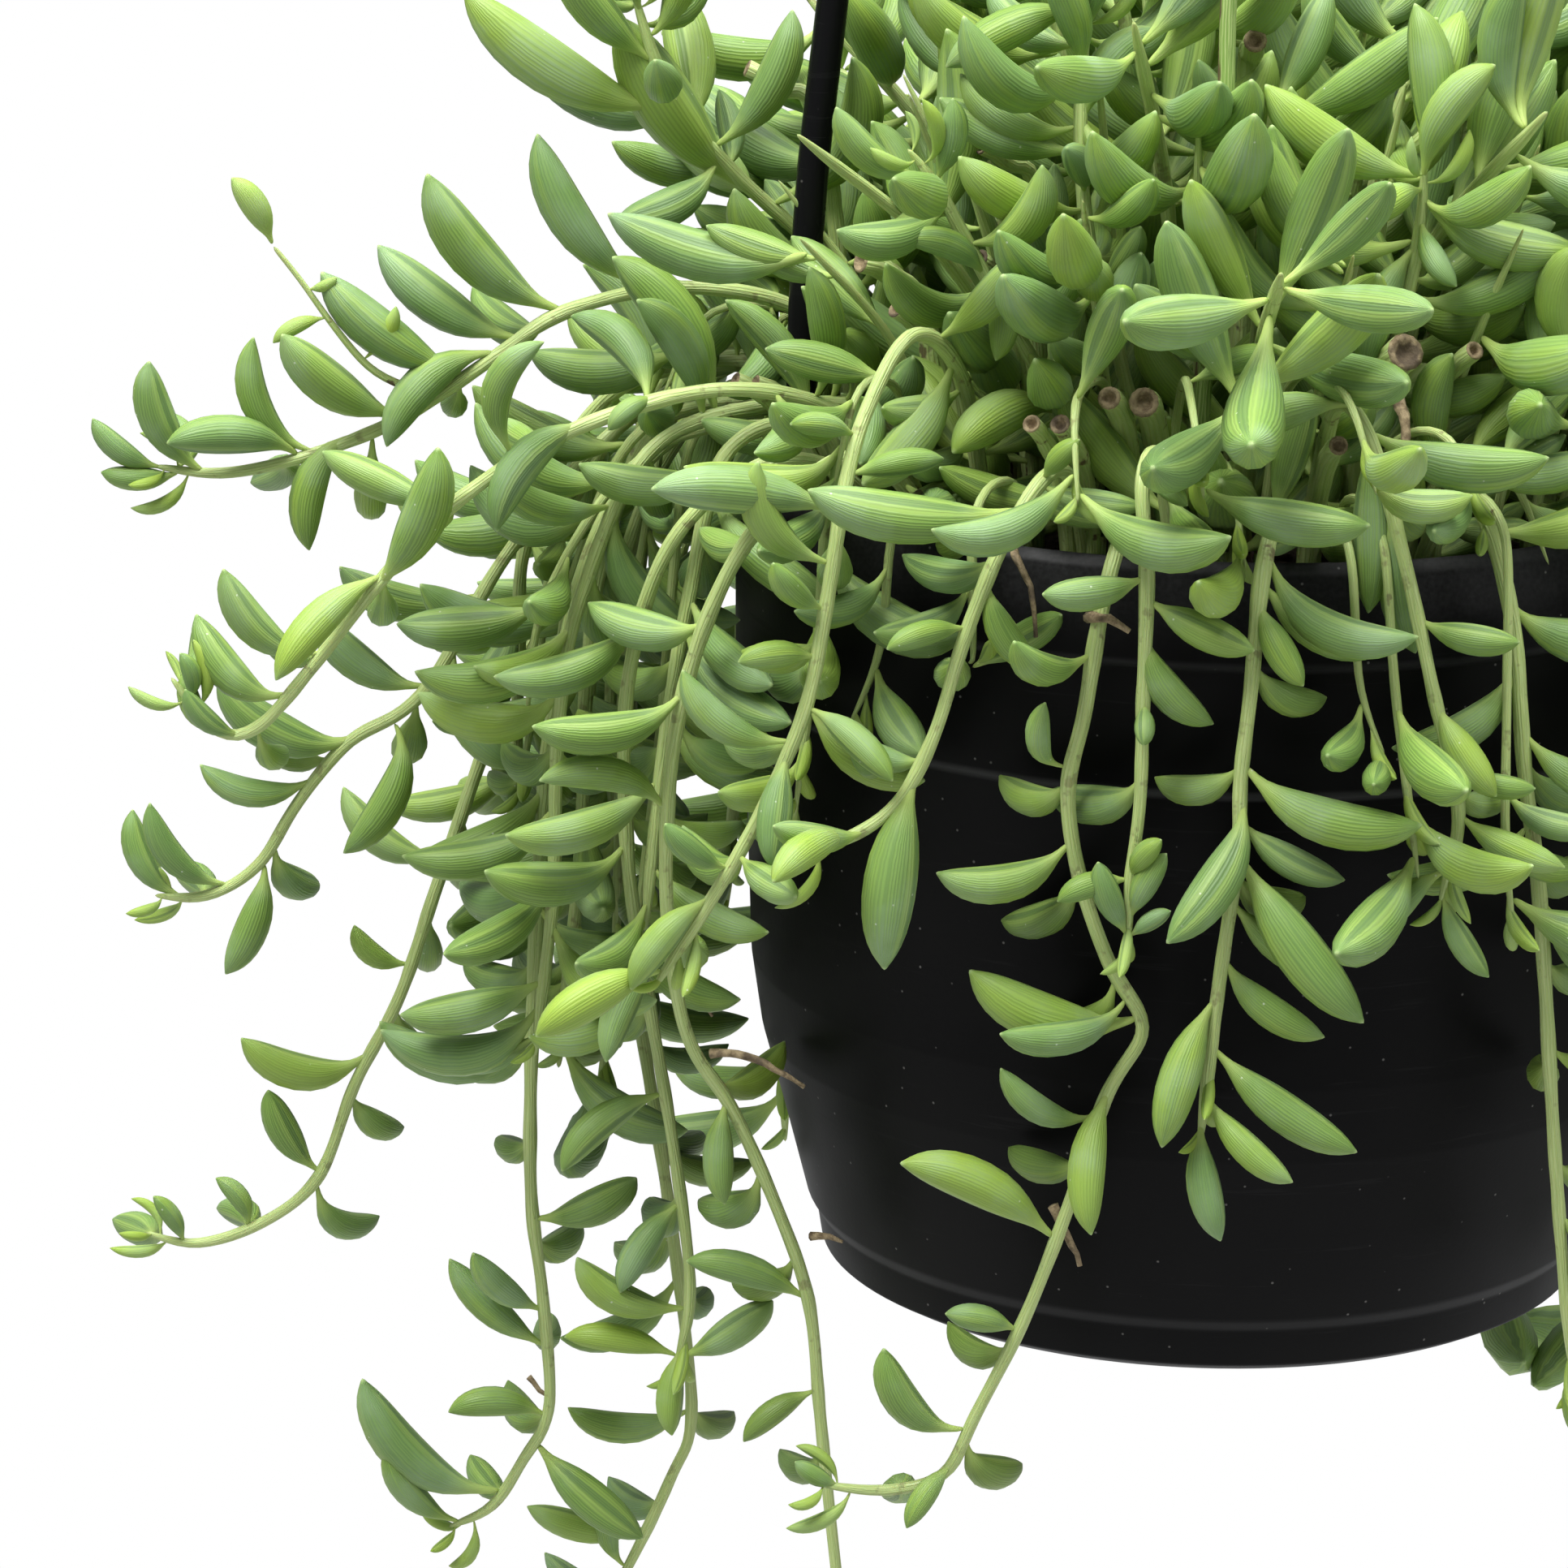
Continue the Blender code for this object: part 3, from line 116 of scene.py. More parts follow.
# Stems and upright shoots drawn from the picture. Each has its route from the soil to its tip, and its
# leaves as (place on the route, angle in the picture with 0 to the right and 90 up, length, lean towards
# the viewer, bow with the tip curling anticlockwise above 0). A place of 4.5 is halfway from point 4 to 5.
DRAWN_STEMS = {
    "stem_long_arch": (
        ((-42, -24, 105), (-46, -28, 124), (-58, -35, 139), (-76, -41, 144), (-98, -44, 138),
         (-115, -46, 127), (-125, -47, 116), (-134, -46, 104), (-143, -44, 93), (-149, -43, 92),
         (-156, -42, 100)),
        ((3.4, 209, 9, 20, 0.5), (3.8, 229, 22, 10, 0.7), (4.4, 76, 20, 15, -1.0), (5.0, 160, 21, -15, 0.0),
         (5.9, 222, 23, 25, 0.4), (6.1, 67, 25, 10, 0.4), (6.9, 137, 20, 10, -1.0), (7.4, 146, 19, -20, -1.0),
         (8.3, 137, 12, 15, -0.8), (8.9, 122, 11, -15, -0.8), (9.6, 100, 8, 10, 0.5)),
    ),
    "stem_left_upper": (
        ((-40, -10, 105), (-46, -10, 128), (-62, -10, 148), (-81, -16, 154), (-99, -20, 151),
         (-110, -22, 144), (-123, -22, 135), (-137, -22, 129), (-150, -22, 126), (-160, -22, 127)),
        ((3.3, 126, 29, 0, -0.5), (4.0, 134, 30, 8, -0.5), (4.6, 150, 26, -15, -0.5), (5.3, 143, 27, 5, -0.5),
         (6.0, 141, 24, 20, -0.4), (6.9, 118, 20, 0, -0.9), (7.1, 170, 21, 20, 0.5), (8.2, 114, 20, 10, -0.6),
         (8.6, 182, 12, 0, -0.4), (9.0, 145, 13, 0, -0.5), (4.9, 220, 22, 10, 0.8), (6.4, 245, 20, 0, 0.8)),
    ),
    "stem_left_middle": (
        ((-44, 8, 105), (-52, 10, 126), (-70, 12, 137), (-90, 8, 129), (-108, 0, 110), (-121, -8, 89),
         (-132, -10, 82), (-140, -10, 72), (-146, -10, 62), (-154, -10, 57), (-162, -10, 57)),
        ((3.5, 200, 24, 0, -0.8), (4.3, 165, 23, 15, -0.8), (4.9, 150, 22, -10, -0.8),
         (5.8, 158, 24, 10, -0.8), (6.6, 172, 18, 5, -0.9), (7.9, 252, 19, 5, -0.3), (8.5, 131, 19, 10, -0.8),
         (9.4, 121, 16, -10, -0.8), (4.6, 300, 22, 20, 0.8), (5.4, 250, 22, 15, -0.8)),
    ),
    "stem_left_lower": (
        ((-40, 25, 105), (-50, 29, 126), (-70, 32, 134), (-89, 33, 119), (-107, 22, 88), (-119, 8, 56),
         (-125, 2, 38), (-132, 0, 24), (-138, 0, 8), (-148, 0, 0), (-158, 0, -3), (-165, 0, -1)),
        ((3.3, 190, 25, 0, -0.8), (3.9, 160, 24, 20, -0.8), (4.4, 335, 22, 20, 0.8),
         (4.9, 150, 20, -15, -0.9), (5.7, 145, 11, 0, -0.8), (6.6, 172, 21, 10, -1.0),
         (7.9, 119, 17, 10, -0.4), (9.1, 120, 10, 0, 0.9),
         (10.1, 119, 10, 10, 0.3)),
    ),
    "stem_low_left": (
        ((-50, -5, 105), (-58, -6, 126), (-75, -9, 134), (-92, -14, 121), (-100, -18, 95), (-103, -18, 60),
         (-104, -16, 16), (-102, -14, -6), (-101, -12, -25), (-105, -10, -34), (-110, -8, -43),
         (-117, -7, -47)),
        ((3.6, 170, 25, 20, -0.8), (4.5, 210, 24, 10, -0.8), (5.0, 350, 23, 25, 0.8),
         (5.5, 170, 24, 10, -0.9), (6.3, 30, 20, 20, 0.5), (7.1, 133, 17, 20, -0.3),
         (7.4, 138, 21, -5, -0.3), (8.1, 175, 16, 10, 0.5),
         (8.6, 320, 23, 10, 0.2), (9.6, 139, 30, 5, -0.9), (10.7, 130, 19, 15, -0.5)),
    ),
    "stem_low_middle": (
        ((-48, -34, 105), (-54, -38, 127), (-67, -42, 134), (-82, -43, 123), (-89, -39, 100),
         (-89, -35, 72), (-86, -32, 50), (-82, -30, 26), (-79, -30, 2), (-81, -30, -11)),
        ((3.6, 200, 24, 15, -0.8), (4.3, 350, 22, 25, 0.8), (4.9, 185, 24, 5, -0.9), (5.5, 330, 20, 20, 0.8),
         (6.0, 196, 20, 10, -0.8), (6.7, 215, 20, 20, 0.6), (7.4, 236, 17, 15, 0.2), (8.2, 151, 20, 10, -0.8),
         (8.7, 265, 14, 15, 0.2), (9.0, 171, 18, 0, 0.3), (9.0, 38, 19, 15, 0.2)),
    ),
    "stem_low_right": (
        ((-44, -44, 105), (-46, -46, 126), (-57, -53, 137), (-72, -57, 125), (-81, -53, 100), (-83, -49, 72),
         (-80, -45, 48), (-73, -42, 35), (-66, -41, 19), (-61, -40, 4), (-59, -40, -14), (-57, -40, -32),
         (-55, -40, -48), (-53, -40, -60)),
        ((3.9, 190, 24, 20, -0.8), (4.6, 160, 22, 25, 0.6), (5.4, 240, 20, 25, 0.5), (6.9, 270, 16, 15, 0.2),
         (9.0, 161, 20, 5, 0.3), (9.8, 215, 14, 10, 0.3), (11.0, 330, 21, 20, 0.6), (11.4, 156, 25, 10, -0.8),
         (12.1, 146, 18, 10, -0.3), (12.8, 20, 17, 0, 0.5)),
    ),
    "stem_low_back": (
        ((-54, 13, 105), (-58, 13, 126), (-75, 13, 133), (-89, 14, 112), (-93, 13, 80), (-89, 10, 40),
         (-83, 7, 2), (-79, 5, -31), (-82, 4, -42), (-88, 4, -56), (-92, 4, -64)),
        ((3.4, 30, 22, -20, 0.8), (4.2, 190, 24, 0, -0.8), (5.0, 200, 24, 10, -0.8), (5.7, 340, 18, 0, 0.8),
         (6.3, 210, 22, 0, -0.8), (7.0, 180, 20, 0, -0.8), (8.6, 171, 20, 0, -0.5), (9.2, 100, 15, 10, -0.5),
         (9.8, 230, 17, 0, -0.5)),
    ),
    "stem_front_left": (
        ((-36, -38, 105), (-38, -44, 130), (-42, -53, 150), (-49, -63, 157), (-55, -70, 148), (-58, -75, 138),
         (-60, -78, 124), (-63, -80, 107), (-69, -80, 92), (-74, -80, 82), (-84, -79, 65)),
        ((4.4, 165, 11, 25, 0.3), (4.9, 10, 14, -5, 0.0), (5.3, 169, 29, 20, 0.2), (5.8, 123, 20, 15, -0.8),
         (6.2, 132, 13, 30, -0.3), (6.6, 178, 12, 20, 0.3), (7.0, 325, 17, 15, -0.2), (7.3, 147, 19, 0, -0.9),
         (7.4, 262, 17, 10, 0.2), (8.7, 0, 17, 20, 0.2), (8.9, 140, 13, 20, -0.4), (9.2, 229, 18, 10, 0.3),
         (9.9, 205, 21, 15, 0.3)),
    ),
    "stem_front_leaning": (
        ((-22, -50, 105), (-24, -58, 128), (-27, -69, 139), (-31, -77, 139), (-36, -80, 131), (-41, -82, 118),
         (-45, -83, 104), (-50, -83, 94), (-57, -84, 89), (-66, -83, 86)),
        ((2.9, 55, 10, 30, 0.0), (3.0, 350, 15, 5, 0.4), (3.5, 173, 31, 10, -0.5), (4.9, 190, 13, 25, 0.3),
         (6.5, 262, 29, 5, 0.1), (7.6, 168, 17, -5, -0.4), (7.9, 192, 20, 15, 0.3), (4.4, 300, 15, 0, 0.5)),
    ),
    "stem_front_long": (
        ((-14, -54, 105), (-16, -63, 127), (-19, -74, 131), (-22, -81, 122), (-24, -82, 107), (-26, -81, 96),
         (-24, -80, 83), (-19, -79, 69), (-14, -78, 60), (-19, -78, 50), (-24, -78, 33), (-30, -77, 15),
         (-37, -76, -1), (-41, -75, -10), (-50, -74, -13), (-60, -74, -12)),
        ((3.4, 158, 18, 5, -0.8), (4.7, 110, 12, 20, -1.0), (5.6, 193, 20, 5, -0.9), (7.4, 190, 21, 25, -0.8),
         (7.8, 165, 26, 0, -0.7), (8.9, 263, 22, 20, 0.3), (9.2, 155, 16, 0, -1.0), (10.3, 151, 27, 10, 0.3),
         (11.1, 162, 12, 15, 0.2), (12.1, 133, 19, 10, -1.0), (12.7, 232, 12, 20, 0.2),
         (14.6, 150, 8, 0, 0.0)),
    ),
    "stem_front_straight": (
        ((-10, -58, 105), (-12, -67, 131), (-15, -77, 144), (-17, -83, 141), (-16, -85, 128), (-16, -85, 110),
         (-16, -85, 95), (-17, -85, 84), (-17, -85, 74)),
        ((2.9, 330, 8, 25, 0.0), (4.0, 186, 16, 20, -0.2), (4.2, 338, 17, 15, 0.2), (4.4, 305, 18, -5, 0.8),
         (5.0, 270, 7, 40, 0.0), (7.0, 196, 11, 10, 0.3), (7.0, 60, 9, 25, -0.2), (7.6, 65, 12, 10, 0.0),
         (8.0, 112, 13, 10, 0.0), (8.0, 40, 8, 20, 0.0)),
    ),
    "stem_front_full": (
        ((2, -56, 105), (2, -65, 127), (2, -76, 134), (0, -83, 127), (-1, -85, 112), (-2, -85, 99),
         (-2, -85, 88), (-4, -85, 69), (-6, -85, 45)),
        ((2.6, 335, 25, 20, 0.9), (3.0, 332, 21, -5, 0.6), (3.2, 300, 14, 25, 0.2), (4.8, 344, 27, 10, 0.8),
         (5.2, 242, 24, 10, -0.6), (5.6, 330, 18, -5, 0.5), (6.0, 309, 30, 15, 0.1), (6.4, 324, 20, -5, 0.3),
         (6.8, 322, 19, 5, 0.5), (7.1, 250, 23, 15, 0.2), (7.4, 326, 26, 10, 0.2), (7.7, 320, 18, 25, 0.3),
         (8.0, 280, 18, 10, 0.2)),
    ),
    "stem_front_right": (
        ((8, -50, 105), (9, -58, 132), (11, -68, 149), (15, -76, 146), (20, -81, 130), (25, -83, 110),
         (29, -83, 94), (27, -82, 80)),
        ((2.5, 195, 22, 15, 0.4), (2.9, 355, 26, 10, 0.5), (2.9, 272, 26, 20, 0.0), (3.6, 282, 23, 5, 0.1),
         (4.4, 350, 15, 15, 0.4), (5.0, 305, 16, 15, 0.2), (5.6, 350, 12, 5, 0.2), (6.0, 335, 17, 10, 0.3),
         (6.6, 225, 18, 5, 0.3), (7.0, 300, 14, 10, 0.3)),
    ),
    "stem_right_thin": (
        ((22, -50, 105), (26, -58, 128), (31, -66, 135), (36, -74, 121), (39, -75, 97), (42, -74, 79),
         (46, -72, 42), (49, -71, 17), (51, -71, 4)),
        ((2.4, 20, 25, 15, 0.5), (2.9, 345, 24, 0, 0.6), (3.3, 215, 22, 20, -0.7), (3.7, 340, 22, 10, 0.8),
         (4.4, 200, 22, 15, -0.7), (5.0, 320, 20, 5, 0.5), (5.6, 350, 14, 0, 0.6), (6.4, 330, 12, 10, 0.4),
         (7.0, 70, 12, 15, 0.3), (7.7, 280, 12, 10, 0.2)),
    ),
    "shoot_high_left": (
        ((-28, -4, 105), (-42, -3, 132), (-60, -3, 155), (-75, -8, 170), (-84, -14, 182), (-88, -16, 192),
         (-90, -16, 199)),
        ((1.9, 137, 24, 20, -0.6), (2.8, 126, 34, 12, -0.3), (3.3, 60, 24, -10, 0.6), (3.9, 152, 36, 0, -0.5),
         (4.5, 130, 24, 15, -0.2), (4.9, 70, 18, 0, 0.5), (5.3, 110, 15, 10, 0.2), (5.7, 50, 13, 0, 0.4)),
    ),
    "shoot_sprout": (
        ((-18, -40, 105), (-24, -44, 128), (-28, -48, 144), (-36, -52, 159), (-41, -52, 168), (-46, -53, 177),
         (-50, -54, 182)),
        ((1.9, 190, 22, 20, 0.6), (2.3, 330, 20, 15, 0.5), (2.9, 55, 18, 5, 0.4), (3.4, 153, 15, 20, 0.6),
         (3.6, 280, 14, 25, -0.6), (4.4, 200, 10, 5, 0.8), (5.0, 80, 13, 10, 0.3), (5.2, 143, 17, 10, -0.8)),
    ),
    "shoot_upright": (
        ((-10, -36, 105), (-14, -40, 130), (-19, -45, 152), (-22, -46, 161), (-24, -45, 170), (-25, -43, 181),
         (-25, -41, 193), (-24, -40, 203)),
        ((2.6, 125, 22, 20, -0.5), (3.0, 60, 12, 20, 0.3), (4.0, 60, 17, 5, 0.4), (4.4, 110, 14, 50, 0.3),
         (4.9, 160, 22, -5, -0.4), (5.2, 52, 18, 0, -0.5), (5.4, 320, 18, 20, 0.5), (5.8, 110, 20, 15, 0.3),
         (6.2, 70, 20, 10, -0.3), (6.6, 200, 22, 10, 0.5)),
    ),
    "shoot_rosette": (
        ((14, -34, 105), (16, -42, 130), (19, -50, 150), (22, -54, 165), (23, -55, 175), (23, -55, 182)),
        ((2.4, 160, 22, 15, -0.5), (2.8, 20, 24, 5, 0.6), (3.4, 250, 20, 5, 0.3), (3.8, 300, 12, 35, 0.3),
         (4.2, 343, 24, 5, 0.6), (4.3, 200, 13, 45, 0.3), (4.5, 62, 20, 10, -0.4), (4.6, 150, 27, 5, -0.4),
         (4.7, 95, 24, -10, 0.3), (4.8, 75, 24, -25, 0.0)),
    ),
}

# Stems that follow the rule for trailing stems: (angle round the pot from the front, root radius,
# reach past the rim, height of the tip)
LEFT_MASS = (
    (-63, 64, 92, 62), (-70, 34, 104, 40), (-88, 64, 96, 30), (-95, 34, 108, 52), (-108, 64, 94, 22),
    (-122, 36, 108, 44), (-130, 60, 92, 34), (-139, 56, 98, -12),
)
BACK_COUNT = 15
BACK_FROM = 52.0
BACK_TO = 214.0
BACK_ROOT_RADII = (60.0, 52.0)
BACK_REACH = (85.0, 97.0)
BACK_TIP = (-45.0, 75.0)
TRAIL_SWAY = 5.0  # degrees to either side
TRAIL_CREST = (6.0, 10.0)  # height of the bend above the rim
TRAIL_DROP = 24.0  # height between two points of the route
TRAIL_FIRST_LEAF = 2.2  # place on the route
TRAIL_LEAF_STEP = 19.0
TRAIL_LEAF_LENGTH = (20.0, 29.0)
TRAIL_LEAF_RISE = 0.35  # how far a leaf turns from square to its stem towards the stem's tip

SHOOT_COUNT = 13
SHOOT_TURN = 3.45  # where the spiral of shoots begins
SHOOT_FIELD = 46.0  # radius of the patch of soil that the upright shoots grow from
SHOOT_SPREAD = 2.15  # how far out a shoot's tip stands, against its root
SHOOT_HEIGHTS = (168.0, 212.0)
SHOOT_LEAVES = 9
SHOOT_LEAF_PLACES = (0.9, 2.98)  # places of the first and the last leaf on the route
SHOOT_LEAF_LENGTH = (24.0, 32.0)
SHOOT_LEAF_RISE = 0.75

POT_STEPS = 120
POT_ROUNDING = 0.35
SOIL_STEPS = 64
SOIL_RINGS = 16
CRUMB_COUNT = 420
CRUMB_FIELD = 64.0
CRUMB_SIZE = (0.7, 2.3)
HANGER_FACETS = 16
HUB_STEPS = 48

STEM_FACETS = 8
STEM_FINE_STEP = 3.0
FINE_STEM = (1.34, 0.92)  # radius at the root and at the tip
NODE_SWELLING = 0.22  # how much a stem swells where a leaf grows
TIP_TAPER = (0.35, 0.62, 0.85)  # girth of a stem's last rings, counted from its tip
LEAF_FACETS = 6
WINDOW_FLATTER = 0.8
BELLY_FULLER = 1.14
FINE_BEND = (1.4, 2.1)  # how much more the fine leaf bends than its solid
FINE_SKEW = (0.72, 1.1)  # below 1 it bends sooner after its base
LEAF_FULLNESS = (0.92, 1.12)
LEAF_ROLL = 0.55
# Half width of a leaf from its base to its point: (share of the length, share of the half width)
LEAF_PROFILE = (
    (0.05, 0.17), (0.14, 0.21), (0.25, 0.62), (0.42, 1.0), (0.64, 1.05), (0.81, 0.84), (0.915, 0.47),
    (0.965, 0.14),
)

# The stems and leaves from here on only show
FILL_STEM = (0.75, 6, 4.5)  # girth, sides and step
FILL_STEM_ROOM = 0.6  # share of its thickness that a stem keeps free
FILL_TOUCH = 0.68  # share of its thickness that a leaf keeps free
FILL_SECTORS = 6  # pieces round the pot
FILL_PLUMPNESS = 1.07
SHOOT_PLUMPNESS = 1.06
# How leaves look for room: tries, tries at full length, turn at each, shortening, bow, room kept free
MODEL_HABIT = (14, 9, 0.35, 0.75, (0.5, 1.0), 1.0)
FILL_HABIT = (10, 6, 0.45, 0.72, (0.4, 1.1), FILL_TOUCH)
FILL_RIM_LENGTH = (18.0, 28.0)
FILL_TRAIL_LENGTH = (16.0, 27.0)
FILL_SHOOT_LENGTH = (21.0, 32.0)
DRAWN_FILL_PLACES = (0.8, 5.5)  # first place on the route and spacing
SHOOT_FILL_PLACES = (0.5, 2.4)  # first place on the route, and from there to the last
MOUND_LEAF_PLACES = (0.7, 2.25)
TIP_LEAVES = 3
YOUNG_WIDTH = 0.62
LEAST_LEAVES = 4
RIM_FRONT = (-125, 75)  # half of the rim's shoots stand between these azimuths
FILL_TOP = 205.0  # height of the mound
MOUND_CURVE = 0.011  # how fast the mound falls away from its middle
MOUND_RADIUS = 80.0
SHADE_DEPTH = 55.0  # depth in the mound where the shade is full
WIDEST_BALL = 6.0
ARM_IN_SIGHT = (166, 240, 4)  # lowest and highest place of the arm that shows, and the step between
# Stems in the mass at the left: the four numbers of LEFT_MASS
FILL_LEFT_MASS = (
    (-66, 50, 98, 80), (-76, 62, 88, 55), (-82, 44, 100, 35), (-91, 58, 103, 70), (-101, 48, 96, 45),
    (-110, 60, 100, 60), (-117, 46, 103, 30), (-126, 62, 98, 66), (-72, 58, 108, 90), (-96, 62, 90, 15),
)
# Short stems over the rim in front: the same four numbers
FILL_FRONT = (
    (-58, 60, 88, 92), (-47, 62, 85, 84), (-38, 58, 83, 99), (-30, 62, 82, 112), (4, 60, 84, 97),
    (11, 62, 86, 84), (18, 58, 84, 93), (25, 62, 87, 76), (33, 60, 84, 90), (46, 62, 86, 80),
    (62, 60, 86, 70), (80, 62, 86, 88), (-52, 64, 80, 106), (-43, 55, 84, 104), (-34, 64, 80, 108),
    (1, 64, 80, 106), (8, 55, 84, 102), (15, 64, 80, 108), (22, 55, 83, 103), (29, 64, 80, 107),
    (40, 55, 82, 104),
)
# Ends of cut stems: x, y, height and thickness
CUT_STEMS = (
    (21, -60, 155, 5.6), (-21, -66, 149, 3.6), (-16, -64, 148, 4.2), (-28, -70, 146, 3.0),
    (-32, -70, 146, 2.6), (-74, -30, 143, 2.8), (-71, -31, 143, 2.4), (0, -35, 195, 3.6),
    (-56, -35, 162, 3.4), (-39, -42, 164, 3.0), (-73, -5, 185, 2.6), (-51, -45, 157, 2.6),
    (11, -72, 144, 3.0), (24, -48, 184, 2.6), (31, -58, 155, 2.8), (-39, -35, 179, 2.4), (34, 40, 172, 3.2),
    (-30, 52, 160, 2.8), (52, -10, 158, 3.4),
)
CUT_END = ((0.28, 0.25), (0.25, -0.9), (0.3, -0.5))  # each inset as a share of the radius, and its rise
# Dry roots on the stems: their points and their thickness
DRY_ROOTS = (
    (((-76, -44, 44), (-72, -45, 44.5), (-68, -46, 43), (-62, -47, 40)), 1.5),
    (((-81, -30, 53), (-79, -31, 50), (-76, -32, 46)), 1.2),
    (((-26, -76, 32), (-24, -76.5, 28), (-22, -76, 23)), 1.6),
    (((-61, -40, 14), (-58, -41, 14.5), (-56, -42, 14)), 1.3),
    (((-105, 5, -26), (-103, 4, -28), (-101, 3, -29)), 1.1),
    (((-34, -69, 130), (-34, -74, 128), (-32, -77, 124), (-31, -78, 117)), 1.4),
    (((-24, -81, 121), (-21, -84, 121.5), (-18, -85, 120)), 1.8),
    (((20, -62, 149), (21, -66, 144), (19, -68, 138)), 1.8),
)
FLOWER_STALK = (
    (-6, -40, 108), (-7, -47, 128), (-7, -51, 146), (-6, -52, 160), (-5, -51, 182), (-5, -50, 203),
    (-4, -49, 214),
)
THIN_SPROUT = ((-118, -22, 138), (-127, -24, 142), (-133, -25, 149), (-138, -25, 156), (-142, -25, 161))
SPROUT_LEAF_HEADING = (-0.5, -0.1, 0.86)
SPROUT_LEAVES = ((2.2, 205, 9), (1.3, 60, 10), (2.8, 25, 5))  # place on the sprout, angle and length

LEAFY_FINISHES = ("waxy_leaf", "stem_skin")
STEM_FINISH = 1
DRY_FINISH = 2
LEAF_LINES = 38.0  # lines round a leaf
LEAF_SPECKS = (0.75, 0.77, 0.7)
LIGHT_CORK = (0.36, 0.28, 0.16)
DARK_CORK = (0.035, 0.022, 0.016)
DUST = (0.35, 0.34, 0.32)
PALE_SPECKS = (0.55, 0.53, 0.5)
# Grey of the fine scratches, and of the painted sheen on the pot's lip
SCRATCH_AND_SHEEN_GREY = (0.5, 0.5, 0.5)
SCRATCH_SCALE = (40, 40, 700)
# Grey of the painted highlight along the pot's edges
EDGE_HIGHLIGHT_GREY = (0.6, 0.6, 0.6)
LIGHT_SOIL = (0.075, 0.048, 0.03)
PALE_CRUMBS = (0.3, 0.26, 0.2)
# Edges of the pot with a painted highlight, a thin lighter band at each: (height, how much)
POT_EDGES = ((RIM_TOP - 1, 0.6), (112.2, 0.5), (93.0, 1.0), (8.4, 0.5))

CAMERA_PLACE = (-65.93, -961.41, 341.2)
CAMERA_DOWN = 0.2716
CAMERA_ROLL = 0.01578
CAMERA_LENS = 149.07
# The studio, in metres from the hook
FLOOR_HALF_SIDE = 20.0
FLOOR_DEPTH = 1.15
FLOOR_COLOUR = (0.5, 0.5, 0.5, 1.0)
AIR_COLOUR = (0.95, 0.97, 1.0, 1.0)
AIR_STRENGTH = 0.42
LIT_POINT = (0.0, 0.0, -0.38)
KEY_PLACE = (-0.9, -0.75, 1.5)
FILL_PLACE = (1.8, -0.9, 0.1)
TOP_PLACE = (0.25, -0.05, 1.55)
TOP_SHARE = 0.95  # power of the light from above against the key light

TO_FRAME = Matrix.Translation((0, 0, -HOOK_HEIGHT * MM)) @ Matrix.Scale(MM, 4)


def on_circle(radius, azimuth, height):
    """The point at this radius and height, at an angle in degrees from the front."""
    turn = math.radians(azimuth)
    return Vector((radius * math.sin(turn), -radius * math.cos(turn), height))


def padded(points):
    """A route's points with one more beyond each end."""
    points = [Vector(p) for p in points]
    return [2 * points[0] - points[1], *points, 2 * points[-1] - points[-2]]


def smooth_route(points, step):
    """Points about a step apart on the smooth curve through the route, each with its place on it."""
    around = padded(points)
    found = []
    for i in range(len(points) - 1):
        a, b, c, d = around[i : i + 4]
        count = max(1, round((c - b).length / step))
        for k in range(count):
            found.append((i + k / count, spline_point(a, b, c, d, k / count)))
    found.append((float(len(points) - 1), around[-2]))
    return found


def spline_point(a, b, c, d, t):
    return 0.5 * (2 * b + (c - a) * t + (2 * a - 5 * b + 4 * c - d) * t**2 + (3 * b - a - 3 * c + d) * t**3)


def curve_point(points, place):
    """The point at this place on the smooth curve."""
    i = min(int(place), len(points) - 2)
    return spline_point(*padded(points)[i : i + 4], place - i)


def route_point(points, place):
    """The point at this place in the middle of the stem's solid, and the stem's direction there."""
    place = min(place, len(points) - 1 - TIP_SHARE)
    rings = smooth_route(points, STEM_STEP)
    low, a, high, b = next((*one, *two) for one, two in zip(rings, rings[1:]) if place <= two[0])
    return a.lerp(b, (place - low) / (high - low)), (b - a).normalized()


def trailing_route(azimuth, root_radius, reach, tip_height, rng):
    """From the soil over the rim, down outside the pot and on to the tip."""
    sway = rng.uniform(-TRAIL_SWAY, TRAIL_SWAY)
    crest = RIM_TOP + rng.uniform(*TRAIL_CREST)
    route = [
        on_circle(root_radius, azimuth, SOIL_TOP - ROOT_DEPTH),
        on_circle(root_radius + 1, azimuth, SOIL_TOP + 12),
        on_circle(0.45 * root_radius + 40, azimuth, crest),
        on_circle(0.4 * reach + 47, azimuth + 0.2 * sway, crest - 2),
        on_circle(reach - 2, azimuth + 0.5 * sway, RIM_TOP - 16),
    ]
    height = RIM_TOP - 38
    while height > tip_height + 12:
        share = (RIM_TOP - height) / RIM_TOP
        route.append(on_circle(reach + 3 * share, azimuth + sway * (0.5 + math.sin(4 * share)), height))
        height -= TRAIL_DROP
    last = route[-1]
    route.append(on_circle(last.xy.length + 3, azimuth + sway, tip_height))
    return tuple(route)


def shoot_route(index):
    """From the soil up and outwards, the outer shoots lower and further out."""
    share = math.sqrt((index + 0.5) / SHOOT_COUNT)
    turn = index * GOLDEN_ANGLE + SHOOT_TURN
    out = Vector((math.cos(turn), math.sin(turn), 0))
    low, high = SHOOT_HEIGHTS
    top = high + (low - high) * share**2
    root = SHOOT_FIELD * share
    height = top - SOIL_TOP
    return (
        out * root + Vector((0, 0, SOIL_TOP - ROOT_DEPTH)),
        out * (root + 2) + Vector((0, 0, SOIL_TOP + 0.3 * height)),
        out * (root * 1.35 + 3) + Vector((0, 0, SOIL_TOP + 0.68 * height)),
        out * (root * SHOOT_SPREAD + 3) + Vector((0, 0, top)),
    )


